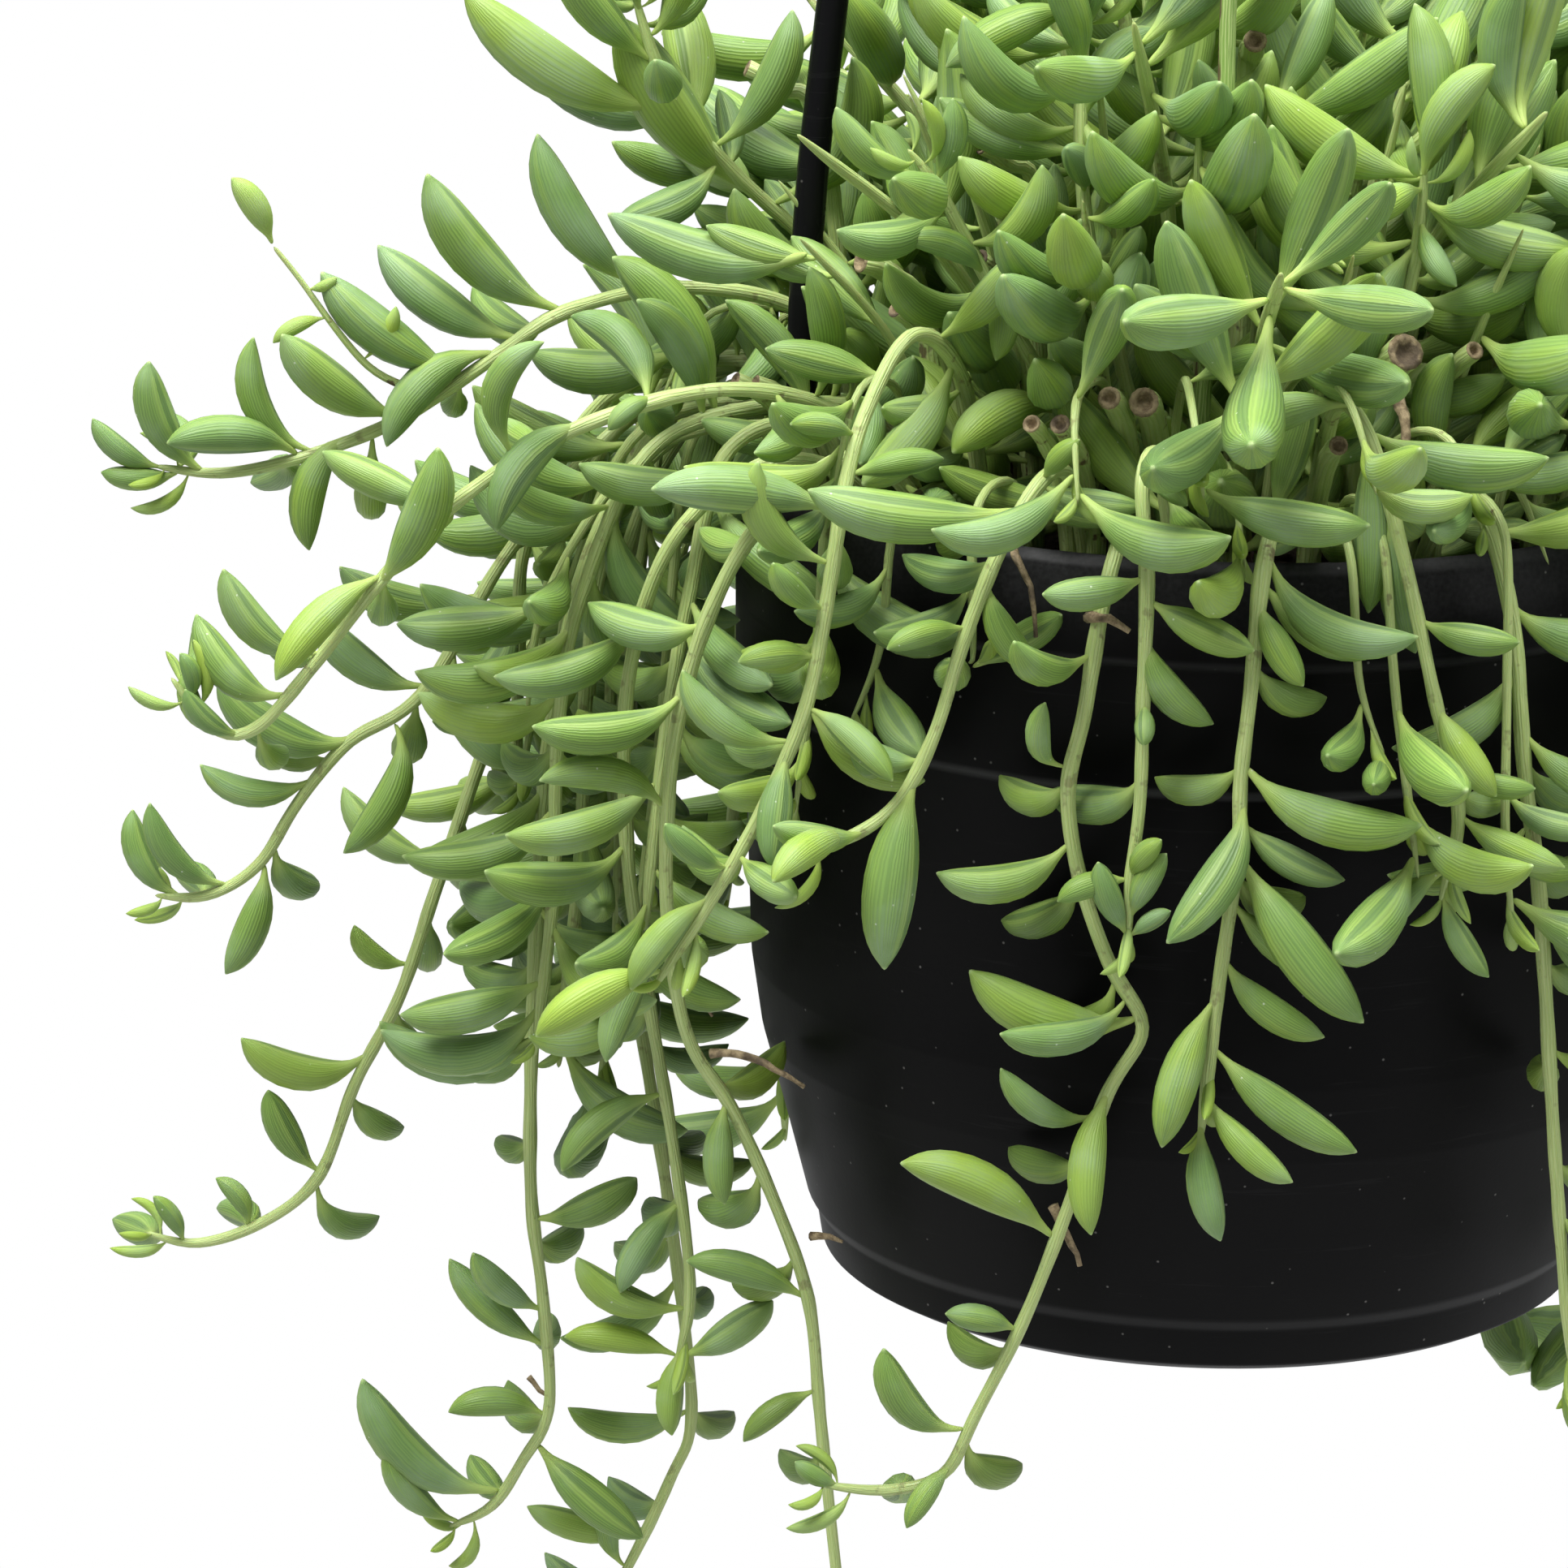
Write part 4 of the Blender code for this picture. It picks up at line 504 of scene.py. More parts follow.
class Leaf:
    """A banana-shaped leaf: from base to tip along heading, standing off that line towards bulge."""

    def __init__(self, base, heading, bulge, length, bow, place=0.0):
        self.base = base
        self.heading = heading
        self.bulge = bulge
        self.length = length
        self.sag = abs(bow) * LEAF_SAG * length
        self.half_width = 0.5 * LEAF_WIDTH_SHARE * (length + 6)
        self.place = place
        self.young = 0.0
        self.roll = 0.0
        self.fullness = 1.0
        self.bend = 1.3
        self.skew = 1.0
        self.traits = (0.0, 0.0, 0.0)

    def axis(self, share):
        """The middle of the leaf at this share of its length."""
        off_line = 4 * self.sag * share * (1 - share)
        return self.base + self.heading * (share * self.length) + self.bulge * off_line

    def middle(self, share):
        """The middle of the fine leaf."""
        eased = share**self.skew
        off_line = 4 * max(self.bend * self.sag, 0.02 * self.length) * eased * (1 - eased)
        return self.base + self.heading * (share * self.length) + self.bulge * off_line

    def direction(self, share):
        before, after = max(share - 0.02, 0.0), min(share + 0.02, 1.0)
        return (self.middle(after) - self.middle(before)).normalized()

    def probes(self):
        """Balls that cover the leaf: rows of x, y, z and radius."""
        rows = []
        for i in range(LEAF_PROBES):
            share = i / (LEAF_PROBES - 1)
            width = PROBE_SHARE * self.half_width * min(1.0, 3.2 * share, 2.7 * (1 - share))
            rows.append((*self.axis(share), max(width, LEAST_PROBE_RADIUS)))
        return np.array(rows)


def drawn_leaf(route, place, angle, length, lean, bow):
    """A leaf as the picture shows it."""
    base, _ = route_point(route, place)
    turn = math.radians(angle)
    tilt = math.radians(lean)
    heading = Vector((math.cos(turn) * math.cos(tilt), -math.sin(tilt), math.sin(turn) * math.cos(tilt)))
    side = Vector((-math.sin(turn), 0, math.cos(turn))) * (-1 if bow > 0 else 1)
    return Leaf(base, heading, side, length, bow, place)


def grown_leaf(route, place, turn, length, rise, bow):
    """A leaf that stands off its stem at this turn round it and droops or rises with the stem."""
    base, along = route_point(route, place)
    first = along.orthogonal().normalized()
    second = along.cross(first)
    side = first * math.cos(turn) + second * math.sin(turn)
    heading = (side + along * rise).normalized()
    down = Vector((0, 0, -1)) if abs(along.z) > 0.35 and along.z < 0 else side
    bulge = down - heading * down.dot(heading)
    if bulge.length < 0.2:
        bulge = side.cross(heading)
    return Leaf(base, heading, bulge.normalized(), length, bow, place)


def stem_stations(route, step):
    """Points and radii along a stem, thinner towards its tip."""
    points = smooth_route(route, step)
    last = len(points) - 1
    stations = []
    for i, (_, point) in enumerate(points):
        share = i / last
        stations.append((point, STEM_ROOT_RADIUS + (STEM_TIP_RADIUS - STEM_ROOT_RADIUS) * share))
    return stations


def meridian_distance(radius, height):
    """Distance from the pot's wall, below 0 inside the wall."""
    outline = [*POT_OUTSIDE, (RIM_RADIUS, RIM_TOP), *POT_INSIDE, (0.0, FLOOR_TOP), (0.0, 0.0)]
    nearest = math.inf
    inside = False
    for (r0, h0), (r1, h1) in zip(outline, outline[1:] + outline[:1]):
        dr, dh = r1 - r0, h1 - h0
        share = ((radius - r0) * dr + (height - h0) * dh) / max(dr * dr + dh * dh, 1e-9)
        share = min(max(share, 0.0), 1.0)
        nearest = min(nearest, math.hypot(radius - r0 - share * dr, height - h0 - share * dh))
        if (h0 > height) != (h1 > height) and radius < r0 + (height - h0) / dh * dr:
            inside = not inside
    return -nearest if inside else nearest


class Space:
    """What is already placed, as balls, each with the name of its piece."""

    def __init__(self):
        self.balls = np.zeros((0, 4))
        self.owners = np.zeros(0, dtype=int)
        self.names = []

    def add(self, name, balls):
        if name not in self.names:
            self.names.append(name)
        owner = self.names.index(name)
        self.balls = np.vstack([self.balls, balls])
        self.owners = np.append(self.owners, np.full(len(balls), owner))

    def clear_of_others(self, name, balls):
        owner = self.names.index(name) if name in self.names else -1
        reach = balls[:, 3].max() + WIDEST_BALL + GAP
        low, high = balls[:, :3].min(axis=0) - reach, balls[:, :3].max(axis=0) + reach
        near = ((self.balls[:, :3] > low) & (self.balls[:, :3] < high)).all(axis=1)
        others = self.balls[near & (self.owners != owner)]
        if len(others) == 0:
            return True
        apart = np.linalg.norm(balls[:, None, :3] - others[None, :, :3], axis=2)
        return bool((apart > balls[:, None, 3] + others[None, :, 3] + GAP).all())

    def clear_of_pot(self, balls):
        for x, y, z, radius in balls:
            out = math.hypot(x, y)
            if z < RIM_TOP + 8 and meridian_distance(out, z) < radius + GAP:
                return False
            if out < POT_INSIDE[1][0] and z < SOIL_TOP + radius + GAP:
                return False
        return True

    def accepts(self, name, leaf, share=1.0):
        balls = leaf.probes() * (1, 1, 1, share)
        return self.clear_of_others(name, balls) and self.clear_of_pot(balls)


def stem_balls(route):
    rows = [(*point, 1.1 * radius) for point, radius in stem_stations(route, 1.0)]
    return np.array(rows)


def trailing_stems():
    """Name and route of every stem that hangs over the rim by the rule."""
    rows = [(f"stem_left_{i + 1:02d}", row) for i, row in enumerate(LEFT_MASS)]
    rng = random.Random(SEED)
    for i in range(BACK_COUNT):
        azimuth = BACK_FROM + (BACK_TO - BACK_FROM) * i / (BACK_COUNT - 1) + rng.uniform(-1.5, 1.5)
        reach = rng.uniform(*BACK_REACH)
        tip_height = rng.uniform(*BACK_TIP)
        rows.append((f"stem_back_{i + 1:02d}", (azimuth, BACK_ROOT_RADII[i % 2], reach, tip_height)))
    return {name: trailing_route(*row, rng) for name, row in rows}


def upright_shoots():
    return {f"shoot_{i + 1:02d}": shoot_route(i) for i in range(SHOOT_COUNT)}


def grow_leaves(space, name, route, places, lengths, rise, rng, habit=MODEL_HABIT):
    """Leaves in a spiral round a stem, each turned or shortened until it stands clear."""
    tries, long_tries, step, shortening, bows, room = habit
    leaves = []
    turn = rng.uniform(0, math.tau)
    for place in places:
        turn += GOLDEN_ANGLE
        length = rng.uniform(*lengths)
        for attempt in range(tries):
            nudge = step * ((attempt + 1) // 2) * (1 if attempt % 2 else -1)
            shorter = 1.0 if attempt < long_tries else shortening
            leaf = grown_leaf(route, place, turn + nudge, length * shorter, rise, rng.uniform(*bows))
            if space.accepts(name, leaf, room):
                space.add(name, leaf.probes() * (1, 1, 1, room))
                leaves.append(leaf)
                break
    return leaves


def draw_leaves(space, name, route, rows):
    """The drawn leaves of a stem, leaned or turned a little where another stem is in the way."""
    leaves = []
    nudges = [(turn, lean) for turn in (0, 12, -12, 25, -25) for lean in (0, 12, -12, 24, -24, 40)]
    for place, angle, length, lean, bow in rows:
        for more_turn, more_lean in nudges:
            leaf = drawn_leaf(route, place, angle + more_turn, length, lean + more_lean, bow)
            if space.accepts(name, leaf):
                space.add(name, leaf.probes())
                leaves.append(leaf)
                break
    return leaves


def places_along(route, first, step):
    """Places on the route a step apart, from the first one to the tip."""
    fine = smooth_route(route, 1.0)
    found = []
    walked = 0.0
    for (_, a), (place, b) in zip(fine, fine[1:]):
        walked += (b - a).length
        if place >= first and walked >= step:
            found.append(place)
            walked = 0.0
    return found


def plant_layout():
    """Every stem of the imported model, {node name: (route, leaves)}, and the space that they fill."""
    drawn = {name: route for name, (route, _) in DRAWN_STEMS.items()}
    trailing = trailing_stems()
    shoots = upright_shoots()
    routes = {**drawn, **trailing, **shoots}
    space = Space()
    for azimuth in ARM_AZIMUTHS:
        space.add("arms", arm_balls(azimuth))
    for name, route in routes.items():
        space.add(name, stem_balls(route))
    layout = {}
    for name, (route, rows) in DRAWN_STEMS.items():
        layout[name] = (route, draw_leaves(space, name, route, rows))
    for index, (name, route) in enumerate({**trailing, **shoots}.items()):
        rng = random.Random(SEED + 100 + index)
        if name in shoots:
            first, last = SHOOT_LEAF_PLACES
            places = [first + (last - first) * (k / (SHOOT_LEAVES - 1)) for k in range(SHOOT_LEAVES)]
            leaves = grow_leaves(space, name, route, places, SHOOT_LEAF_LENGTH, SHOOT_LEAF_RISE, rng)
        else:
            places = places_along(route, TRAIL_FIRST_LEAF, TRAIL_LEAF_STEP)
            leaves = grow_leaves(space, name, route, places, TRAIL_LEAF_LENGTH, TRAIL_LEAF_RISE, rng)
        layout[name] = (route, leaves)
    return layout, space


def arm_stations(azimuth):
    return [(on_circle(radius, azimuth, height), 0.5 * thick) for radius, height, thick in ARM_STATIONS]


def arm_balls(azimuth):
    rows = []
    for (a, thick_a), (b, thick_b) in zip(arm_stations(azimuth), arm_stations(azimuth)[1:]):
        count = max(1, round((b - a).length))
        for k in range(count):
            rows.append((*a.lerp(b, k / count), max(thick_a, thick_b)))
    return np.array(rows)


def hook_stations():
    """The open hook, from its free end over the top and down to the hub."""
    centre = Vector((0, 0, HOOK_HEIGHT - HOOK_MOUTH_RADIUS))
    radius = HOOK_MOUTH_RADIUS + 0.5 * HOOK_THICKNESS
    stations = []
    for k in range(12):
        turn = math.radians(-28 + 22.5 * k)
        stations.append(centre + Vector((radius * math.cos(turn), 0, radius * math.sin(turn))))
    stations.append(Vector((-3.4, 0, centre.z - radius - 3.0)))
    stations.append(Vector((0, 0, centre.z - radius - 9.0)))
    stations.append(Vector((0, 0, HUB_TOP - 3)))
    return [(point, 0.5 * HOOK_THICKNESS) for point in stations]


def even_places(first, span, count):
    return [first + span * k / (count - 1) for k in range(count)]


def fuller_layout(sizes):
    """The solids' layout, and the leaves and shoots that only show: {piece name: (route, leaves)}."""
    layout, space = plant_layout()
    rng = random.Random(SEED + 7)
    sight = open_sight()
    space.add("sight", sight)
    for name, (_, leaves) in layout.items():
        leaves[:] = [leaf for leaf in leaves if name in DRAWN_STEMS or not covers(leaf, sight)]
    trail_step = sizes.trail_step / MM
    for name, (route, leaves) in layout.items():
        if name in DRAWN_STEMS:
            crest = max(range(len(route)), key=lambda i: route[i][2])
            places = [place for place in places_along(route, *DRAWN_FILL_PLACES) if place < crest - 0.3]
            leaves += more_leaves(space, name, route, places, FILL_RIM_LENGTH, 0.4, rng)
            leaves += tip_leaves(space, name, route, rng)
            leaves += hidden_leaves(space, name, route, rng)
        elif name.startswith("stem"):
            places = places_along(route, 1.2, trail_step)
            leaves += more_leaves(space, name, route, places, FILL_TRAIL_LENGTH, TRAIL_LEAF_RISE, rng)
            leaves += tip_leaves(space, name, route, rng)
        else:
            places = even_places(*SHOOT_FILL_PLACES, SHOOT_LEAVES)
            leaves += more_leaves(space, name, route, places, FILL_SHOOT_LENGTH, SHOOT_LEAF_RISE, rng)
    for index in range(sizes.fill_shoots):
        name = f"fill_mound_{index + 1:02d}"
        route = fill_route(index, sizes.fill_shoots, rng)
        places = even_places(*MOUND_LEAF_PLACES, sizes.fill_leaves)
        leaves = fill_leaves(space, name, route, places, FILL_SHOOT_LENGTH, SHOOT_LEAF_RISE, rng)
        layout[name] = (route, leaves)
    for index in range(sizes.rim_shoots):
        name = f"fill_rim_{index + 1:02d}"
        route = rim_route(index, sizes.rim_shoots, rng)
        places = places_along(route, 1.3, 5.0)
        leaves = fill_leaves(space, name, route, places, FILL_RIM_LENGTH, 0.45, rng)
        keep_leafy(layout, name, route, leaves + tip_leaves(space, name, route, rng))
    for index, row in enumerate(FILL_LEFT_MASS + FILL_FRONT):
        name = f"fill_left_{index + 1:02d}"
        route = trailing_route(*row, rng)
        places = places_along(route, 1.3, 0.8 * sizes.trail_step / MM)
        leaves = fill_leaves(space, name, route, places, FILL_TRAIL_LENGTH, TRAIL_LEAF_RISE, rng)
        keep_leafy(layout, name, route, leaves + tip_leaves(space, name, route, rng))
    return layout


def more_leaves(space, name, route, places, lengths, rise, rng):
    """Further leaves on a stem, which may touch their neighbours lightly."""
    return grow_leaves(space, name, route, places, lengths, rise, rng, FILL_HABIT)


def fill_leaves(space, name, route, places, lengths, rise, rng):
    """Places a stem that only shows, and grows its leaves."""
    space.add(name, stem_balls(route) * (1, 1, 1, FILL_STEM_ROOM))
    return more_leaves(space, name, route, places, lengths, rise, rng)


def keep_leafy(layout, name, route, leaves):
    """Adds a stem as far as its leaves reach, unless it found room for too few of them."""
    if len(leaves) >= LEAST_LEAVES:
        furthest = max(leaf.place for leaf in leaves)
        layout[name] = (route[: math.ceil(furthest) + 1], leaves)


def open_sight():
    """Balls between the viewer and what leaves don't hide: the arm above the mound and the cut stems."""
    viewer = Vector(CAMERA_PLACE)
    rows = []
    for height in range(*ARM_IN_SIGHT):
        low, high = next(pair for pair in zip(ARM_STATIONS[4:], ARM_STATIONS[5:]) if height <= pair[1][1])
        radius = low[0] + (high[0] - low[0]) * (height - low[1]) / (high[1] - low[1])
        point = on_circle(radius, ARM_AZIMUTHS[0], height)
        towards = (viewer - point).normalized()
        rows += [(*(point + towards * k), 3.2) for k in range(0, 90, 4)]
    for x, y, z, thick in CUT_STEMS:
        point = Vector((x, y, z))
        towards = (viewer - point).normalized()
        rows += [(*(point + towards * k), 0.45 * thick) for k in range(-6, 36, 2)]
    return np.array(rows)


def covers(leaf, sight):
    balls = leaf.probes()
    apart = np.linalg.norm(balls[:, None, :3] - sight[None, :, :3], axis=2)
    return bool((apart < 0.6 * (balls[:, None, 3] + sight[None, :, 3])).any())


def rim_route(index, count, rng):
    """A short shoot that leans out over the pot's rim."""
    share = (index + rng.uniform(-0.35, 0.35)) / count
    azimuth = 360 * share if index % 2 else RIM_FRONT[0] + (RIM_FRONT[1] - RIM_FRONT[0]) * share
    root, out, rise = rng.uniform(50, 63), rng.uniform(73, 84), rng.uniform(7, 27)
    return (
        on_circle(root, azimuth, SOIL_TOP - ROOT_DEPTH),
        on_circle(root + 1, azimuth, SOIL_TOP + 10),
        on_circle(root + 5, azimuth + 3, RIM_TOP + rise - 4),
        on_circle(out - 3, azimuth + 6, RIM_TOP + rise),
        on_circle(out + 5, azimuth + 8, RIM_TOP + rise - 13),
    )


def fill_route(index, count, rng):
    """A shoot between the modelled ones, from the soil up to the mound's surface."""
    share = math.sqrt((index + 0.5) / count)
    turn = index * GOLDEN_ANGLE + 1.1
    out = Vector((math.cos(turn), math.sin(turn), 0))
    root = 56 * share
    top = FILL_TOP - 44 * share**2.2 + rng.uniform(-9, 7)
    height = top - SOIL_TOP
    lean = 1.38 + 0.1 * rng.uniform(-1, 1)
    return (
        out * root + Vector((0, 0, SOIL_TOP - ROOT_DEPTH)),
        out * (root + 1) + Vector((0, 0, SOIL_TOP + 0.35 * height)),
        out * (root * 1.15 + 2) + Vector((0, 0, SOIL_TOP + 0.7 * height)),
        out * (root * lean + 3) + Vector((0, 0, top)),
    )


def tip_leaves(space, name, route, rng):
    """The small young leaves round the growing tip of a stem."""
    last = len(route) - 1
    leaves = []
    for k in range(TIP_LEAVES):
        place = last - TIP_SHARE * (1 + 1.3 * k)
        turn = k * GOLDEN_ANGLE + rng.uniform(0, 1)
        leaf = grown_leaf(route, place, turn, rng.uniform(5.5, 7) + 2.2 * k, 1.3, 0.9)
        if space.accepts(name, leaf, FILL_TOUCH):
            leaf.young = 0.9
            leaf.half_width *= YOUNG_WIDTH
            space.add(name, leaf.probes() * (1, 1, 1, FILL_TOUCH))
            leaves.append(leaf)
    return leaves


def hidden_leaves(space, name, route, rng):
    """Leaves on the side of a drawn stem that is turned away from the viewer."""
    leaves = []
    for place in places_along(route, 1.2, 15.0):
        for _ in range(8):
            turn = rng.uniform(0, math.tau)
            leaf = grown_leaf(route, place, turn, rng.uniform(14, 22), TRAIL_LEAF_RISE, rng.uniform(0.5, 1.0))
            if leaf.heading.y > 0.55 and space.accepts(name, leaf, FILL_TOUCH):
                space.add(name, leaf.probes() * (1, 1, 1, FILL_TOUCH))
                leaves.append(leaf)
                break
    return leaves


def give_traits(layout, rng):
    """Each leaf's own tone, how lime it is, how deep in the mound it stands for its painted shade, and its
    own shape.
    """
    for _, leaves in layout.values():
        for leaf in leaves:
            middle = leaf.axis(0.5)
            out = math.hypot(middle.x, middle.y)
            surface = FILL_TOP - MOUND_CURVE * out**2
            depth = 0.0
            if out < MOUND_RADIUS:
                depth = min(max((surface - middle.z) / SHADE_DEPTH, 0.0), 1.0)
            lime = max(leaf.young, 0.65 * max(0.0, rng.uniform(-1.6, 1.0)))
            leaf.traits = (rng.uniform(0, 1), lime, depth)
            leaf.roll = rng.gauss(0, LEAF_ROLL)
            leaf.fullness = rng.uniform(*LEAF_FULLNESS)
            leaf.bend = rng.uniform(*FINE_BEND)
            leaf.skew = rng.uniform(*FINE_SKEW)


def linked_object(name, body, place=TO_FRAME):
    """An object in the scene from a bmesh, which is freed. The matrix takes it to the frame."""
    mesh = bpy.data.meshes.new(name)
    bmesh.ops.transform(body, matrix=place, verts=body.verts[:])
    body.to_mesh(mesh)
    body.free()
    obj = bpy.data.objects.new(name, mesh)
    bpy.context.scene.collection.objects.link(obj)
    return obj


def new_piece(name, body, finishes, slot, *nodes):
    """A finished piece from a bmesh. It rides on the root and stands for these nodes."""
    obj = linked_object(name, body)
    for finish in finishes:
        obj.data.materials.append(bpy.data.materials[finish])
    obj.data.shade_smooth()
    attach(obj, "root")
    if nodes:
        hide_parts(*nodes)
    return obj


def subdivide(obj):
    smooth = obj.modifiers.new("smooth", "SUBSURF")
    smooth.levels = smooth.render_levels = 1


def sharpen(obj, degrees):
    obj.data.shade_smooth()
    obj.data.set_sharp_from_angle(angle=math.radians(degrees))


def join_solids(obj, others, operation):
    """Applies one Boolean with each of the other objects, which are then removed."""
    for other in others:
        modifier = obj.modifiers.new("cut", "BOOLEAN")
        modifier.operation = operation
        modifier.object = other
        modifier.solver = "EXACT"
    bpy.context.view_layer.update()
    result = bpy.data.meshes.new_from_object(obj.evaluated_get(bpy.context.evaluated_depsgraph_get()))
    obj.modifiers.clear()
    old, obj.data = obj.data, result
    bpy.data.meshes.remove(old)
    for other in others:
        bpy.data.meshes.remove(other.data)


def add_part(whole, part):
    """Moves one bmesh into another."""
    mesh = bpy.data.meshes.new("part")
    part.to_mesh(mesh)
    part.free()
    whole.from_mesh(mesh)
    bpy.data.meshes.remove(mesh)


def turned_body(profile, steps):
    """A solid turned from its profile of (radius, height), which begins and ends on the axis."""
    body = bmesh.new()
    verts = [body.verts.new((radius, 0, height)) for radius, height in profile]
    edges = [body.edges.new(pair) for pair in zip(verts, verts[1:])]
    bmesh.ops.spin(
        body, geom=verts + edges, cent=(0, 0, 0), axis=(0, 0, 1), angle=math.tau, steps=steps, use_merge=True,
    )
    bmesh.ops.remove_doubles(body, verts=body.verts[:], dist=1e-4)
    bmesh.ops.recalc_face_normals(body, faces=body.faces[:])
    return body


def frame_at(point, along, side, size):
    """A matrix that puts a unit circle square to a path."""
    side = (side - along * side.dot(along)).normalized()
    across = along.cross(side)
    made = Matrix((side * size, across * size, along * size)).transposed().to_4x4()
    made.translation = point
    return made


def leafy_body():
    """An empty bmesh that holds each vertex's place on its leaf or stem, and its leaf's traits."""
    body = bmesh.new()
    body.verts.layers.float_vector.new("place_on")
    body.verts.layers.float_vector.new("leaf_traits")
    return body


def extrude_ring(body, edges):
    """Extrudes a ring of edges and returns its new vertices, edges and faces."""
    new = bmesh.ops.extrude_edge_only(body, edges=edges)["geom"]
    verts = [part for part in new if isinstance(part, bmesh.types.BMVert)]
    new_edges = [part for part in new if isinstance(part, bmesh.types.BMEdge)]
    rim = [edge for edge in new_edges if all(vert in verts for vert in edge.verts)]
    return verts, rim, [part for part in new if isinstance(part, bmesh.types.BMFace)]


def extrude_tube(body, stations, sides, finish=0):
    """A circle extruded through stations of (point, radius) and closed at both ends. Its vertices keep
    their place round the tube and along it."""
    layers = body.verts.layers.float_vector
    around = layers.get("place_on") or layers.new("place_on")
    first = (stations[1][0] - stations[0][0]).normalized()
    side = first.orthogonal().normalized()
    now = frame_at(stations[0][0], first, side, stations[0][1])
    ring = bmesh.ops.create_circle(body, cap_ends=False, segments=sides, radius=1.0)["verts"]
    for vert in ring:
        vert[around] = (vert.co.x, vert.co.y, 0.0)
    bmesh.ops.transform(body, matrix=now, verts=ring)
    edges = list(dict.fromkeys(edge for vert in ring for edge in vert.link_edges))
    faces = [bmesh.ops.contextual_create(body, geom=edges)["faces"][0]]
    walked = 0.0
    for i in range(1, len(stations)):
        point, radius = stations[i]
        along = (stations[min(i + 1, len(stations) - 1)][0] - stations[i - 1][0]).normalized()
        walked += (point - stations[i - 1][0]).length
        side = (side - along * side.dot(along)).normalized()
        ring, edges, walls = extrude_ring(body, edges)
        faces += walls
        after = frame_at(point, along, side, radius)
        bmesh.ops.transform(body, matrix=after @ now.inverted(), verts=ring)
        now = after
        for vert in ring:
            vert[around].z = walked
    faces.append(bmesh.ops.contextual_create(body, geom=edges)["faces"][0])
    for face in faces:
        face.material_index = finish
    bmesh.ops.recalc_face_normals(body, faces=faces)


def rod_body(start, end, radius, sides):
    body = bmesh.new()
    extrude_tube(body, [(Vector(start), radius), (Vector(end), radius)], sides)
    return body


def leaf_pattern():
    """One straight leaf of length 1 and half width 1, its window at x below 0, as a mesh to copy."""
    body = leafy_body()
    around = body.verts.layers.float_vector["place_on"]
    ring = bmesh.ops.create_circle(body, cap_ends=False, segments=LEAF_FACETS, radius=1.0)["verts"]
    for vert in ring:
        vert[around] = (-vert.co.x, vert.co.y, 0.0)
        vert.co.x *= WINDOW_FLATTER if vert.co.x < 0 else BELLY_FULLER
    share, width = LEAF_PROFILE[0]
    place = Matrix.Translation((0, 0, share)) @ Matrix.Diagonal((width, width, 1, 1))
    bmesh.ops.transform(body, matrix=place, verts=ring)
    edges = body.edges[:]
    base, _, _ = extrude_ring(body, edges)
    bmesh.ops.pointmerge(body, verts=base, merge_co=(0, 0, 0))
    for (_, before), (share, width) in zip(LEAF_PROFILE, LEAF_PROFILE[1:]):
        ring, edges, _ = extrude_ring(body, edges)
        for vert in ring:
            vert.co.z = share
        bmesh.ops.scale(body, vec=(width / before, width / before, 1), verts=ring)
    tip, _, _ = extrude_ring(body, edges)
    bmesh.ops.pointmerge(body, verts=tip, merge_co=(0, 0, 1))
    for vert in body.verts:
        vert[around].z = vert.co.z
    bmesh.ops.recalc_face_normals(body, faces=body.faces[:])
    mesh = bpy.data.meshes.new("leaf_pattern")
    body.to_mesh(mesh)
    body.free()
    return mesh


def add_leaf(body, pattern, leaf, shift, plump):
    """Copies the leaf pattern into a body and bends it to its place."""
    first = len(body.verts)
    body.from_mesh(pattern)
    body.verts.ensure_lookup_table()
    traits = body.verts.layers.float_vector["leaf_traits"]
    width = leaf.half_width * plump * leaf.fullness
    turned = Matrix.Rotation(leaf.roll, 3, "Z")
    for vert in body.verts[first:]:
        share = vert.co.z
        section = turned @ Vector((vert.co.x, vert.co.y, 0)) * width
        along = leaf.direction(share)
        out = (leaf.bulge - along * leaf.bulge.dot(along)).normalized()
        vert.co = leaf.middle(share) + shift + out * section.x + along.cross(out) * section.y
        vert[traits] = leaf.traits


def stem_body(route, leaves, pattern, plump, rng, girth=1.0, sides=STEM_FACETS, step=STEM_FINE_STEP):
    """A fine stem with its leaves. Material 0 is the leaf and 1 the stem."""
    body = leafy_body()
    points = smooth_route(route, step)
    last = len(points) - 1
    stations = []
    for i, (place, point) in enumerate(points):
        radius = girth * (FINE_STEM[0] + (FINE_STEM[1] - FINE_STEM[0]) * (i / last))
        nearest = min((abs(place - leaf.place) for leaf in leaves), default=1.0)
        swelling = 1 + NODE_SWELLING * max(0.0, 1 - 7 * nearest)
        if last - i < len(TIP_TAPER):
            swelling *= TIP_TAPER[last - i]
        stations.append((point, radius * swelling))
    extrude_tube(body, stations, sides, finish=STEM_FINISH)
    traits = body.verts.layers.float_vector["leaf_traits"]
    age = rng.uniform(0, 1)
    for vert in body.verts:
        vert[traits] = (age, 0.0, 0.0)
    for leaf in leaves:
        place = min(leaf.place, len(route) - 1 - TIP_SHARE)
        add_leaf(body, pattern, leaf, curve_point(route, place) - leaf.base, plump)
    return body


def tapered_stem(points, radii):
    route = [point for _, point in smooth_route(points, STEM_FINE_STEP)]
    last = len(route) - 1
    path = [(point, radii[0] + (radii[1] - radii[0]) * i / last) for i, point in enumerate(route)]
    body = leafy_body()
    extrude_tube(body, path, STEM_FACETS, finish=STEM_FINISH)
    return body


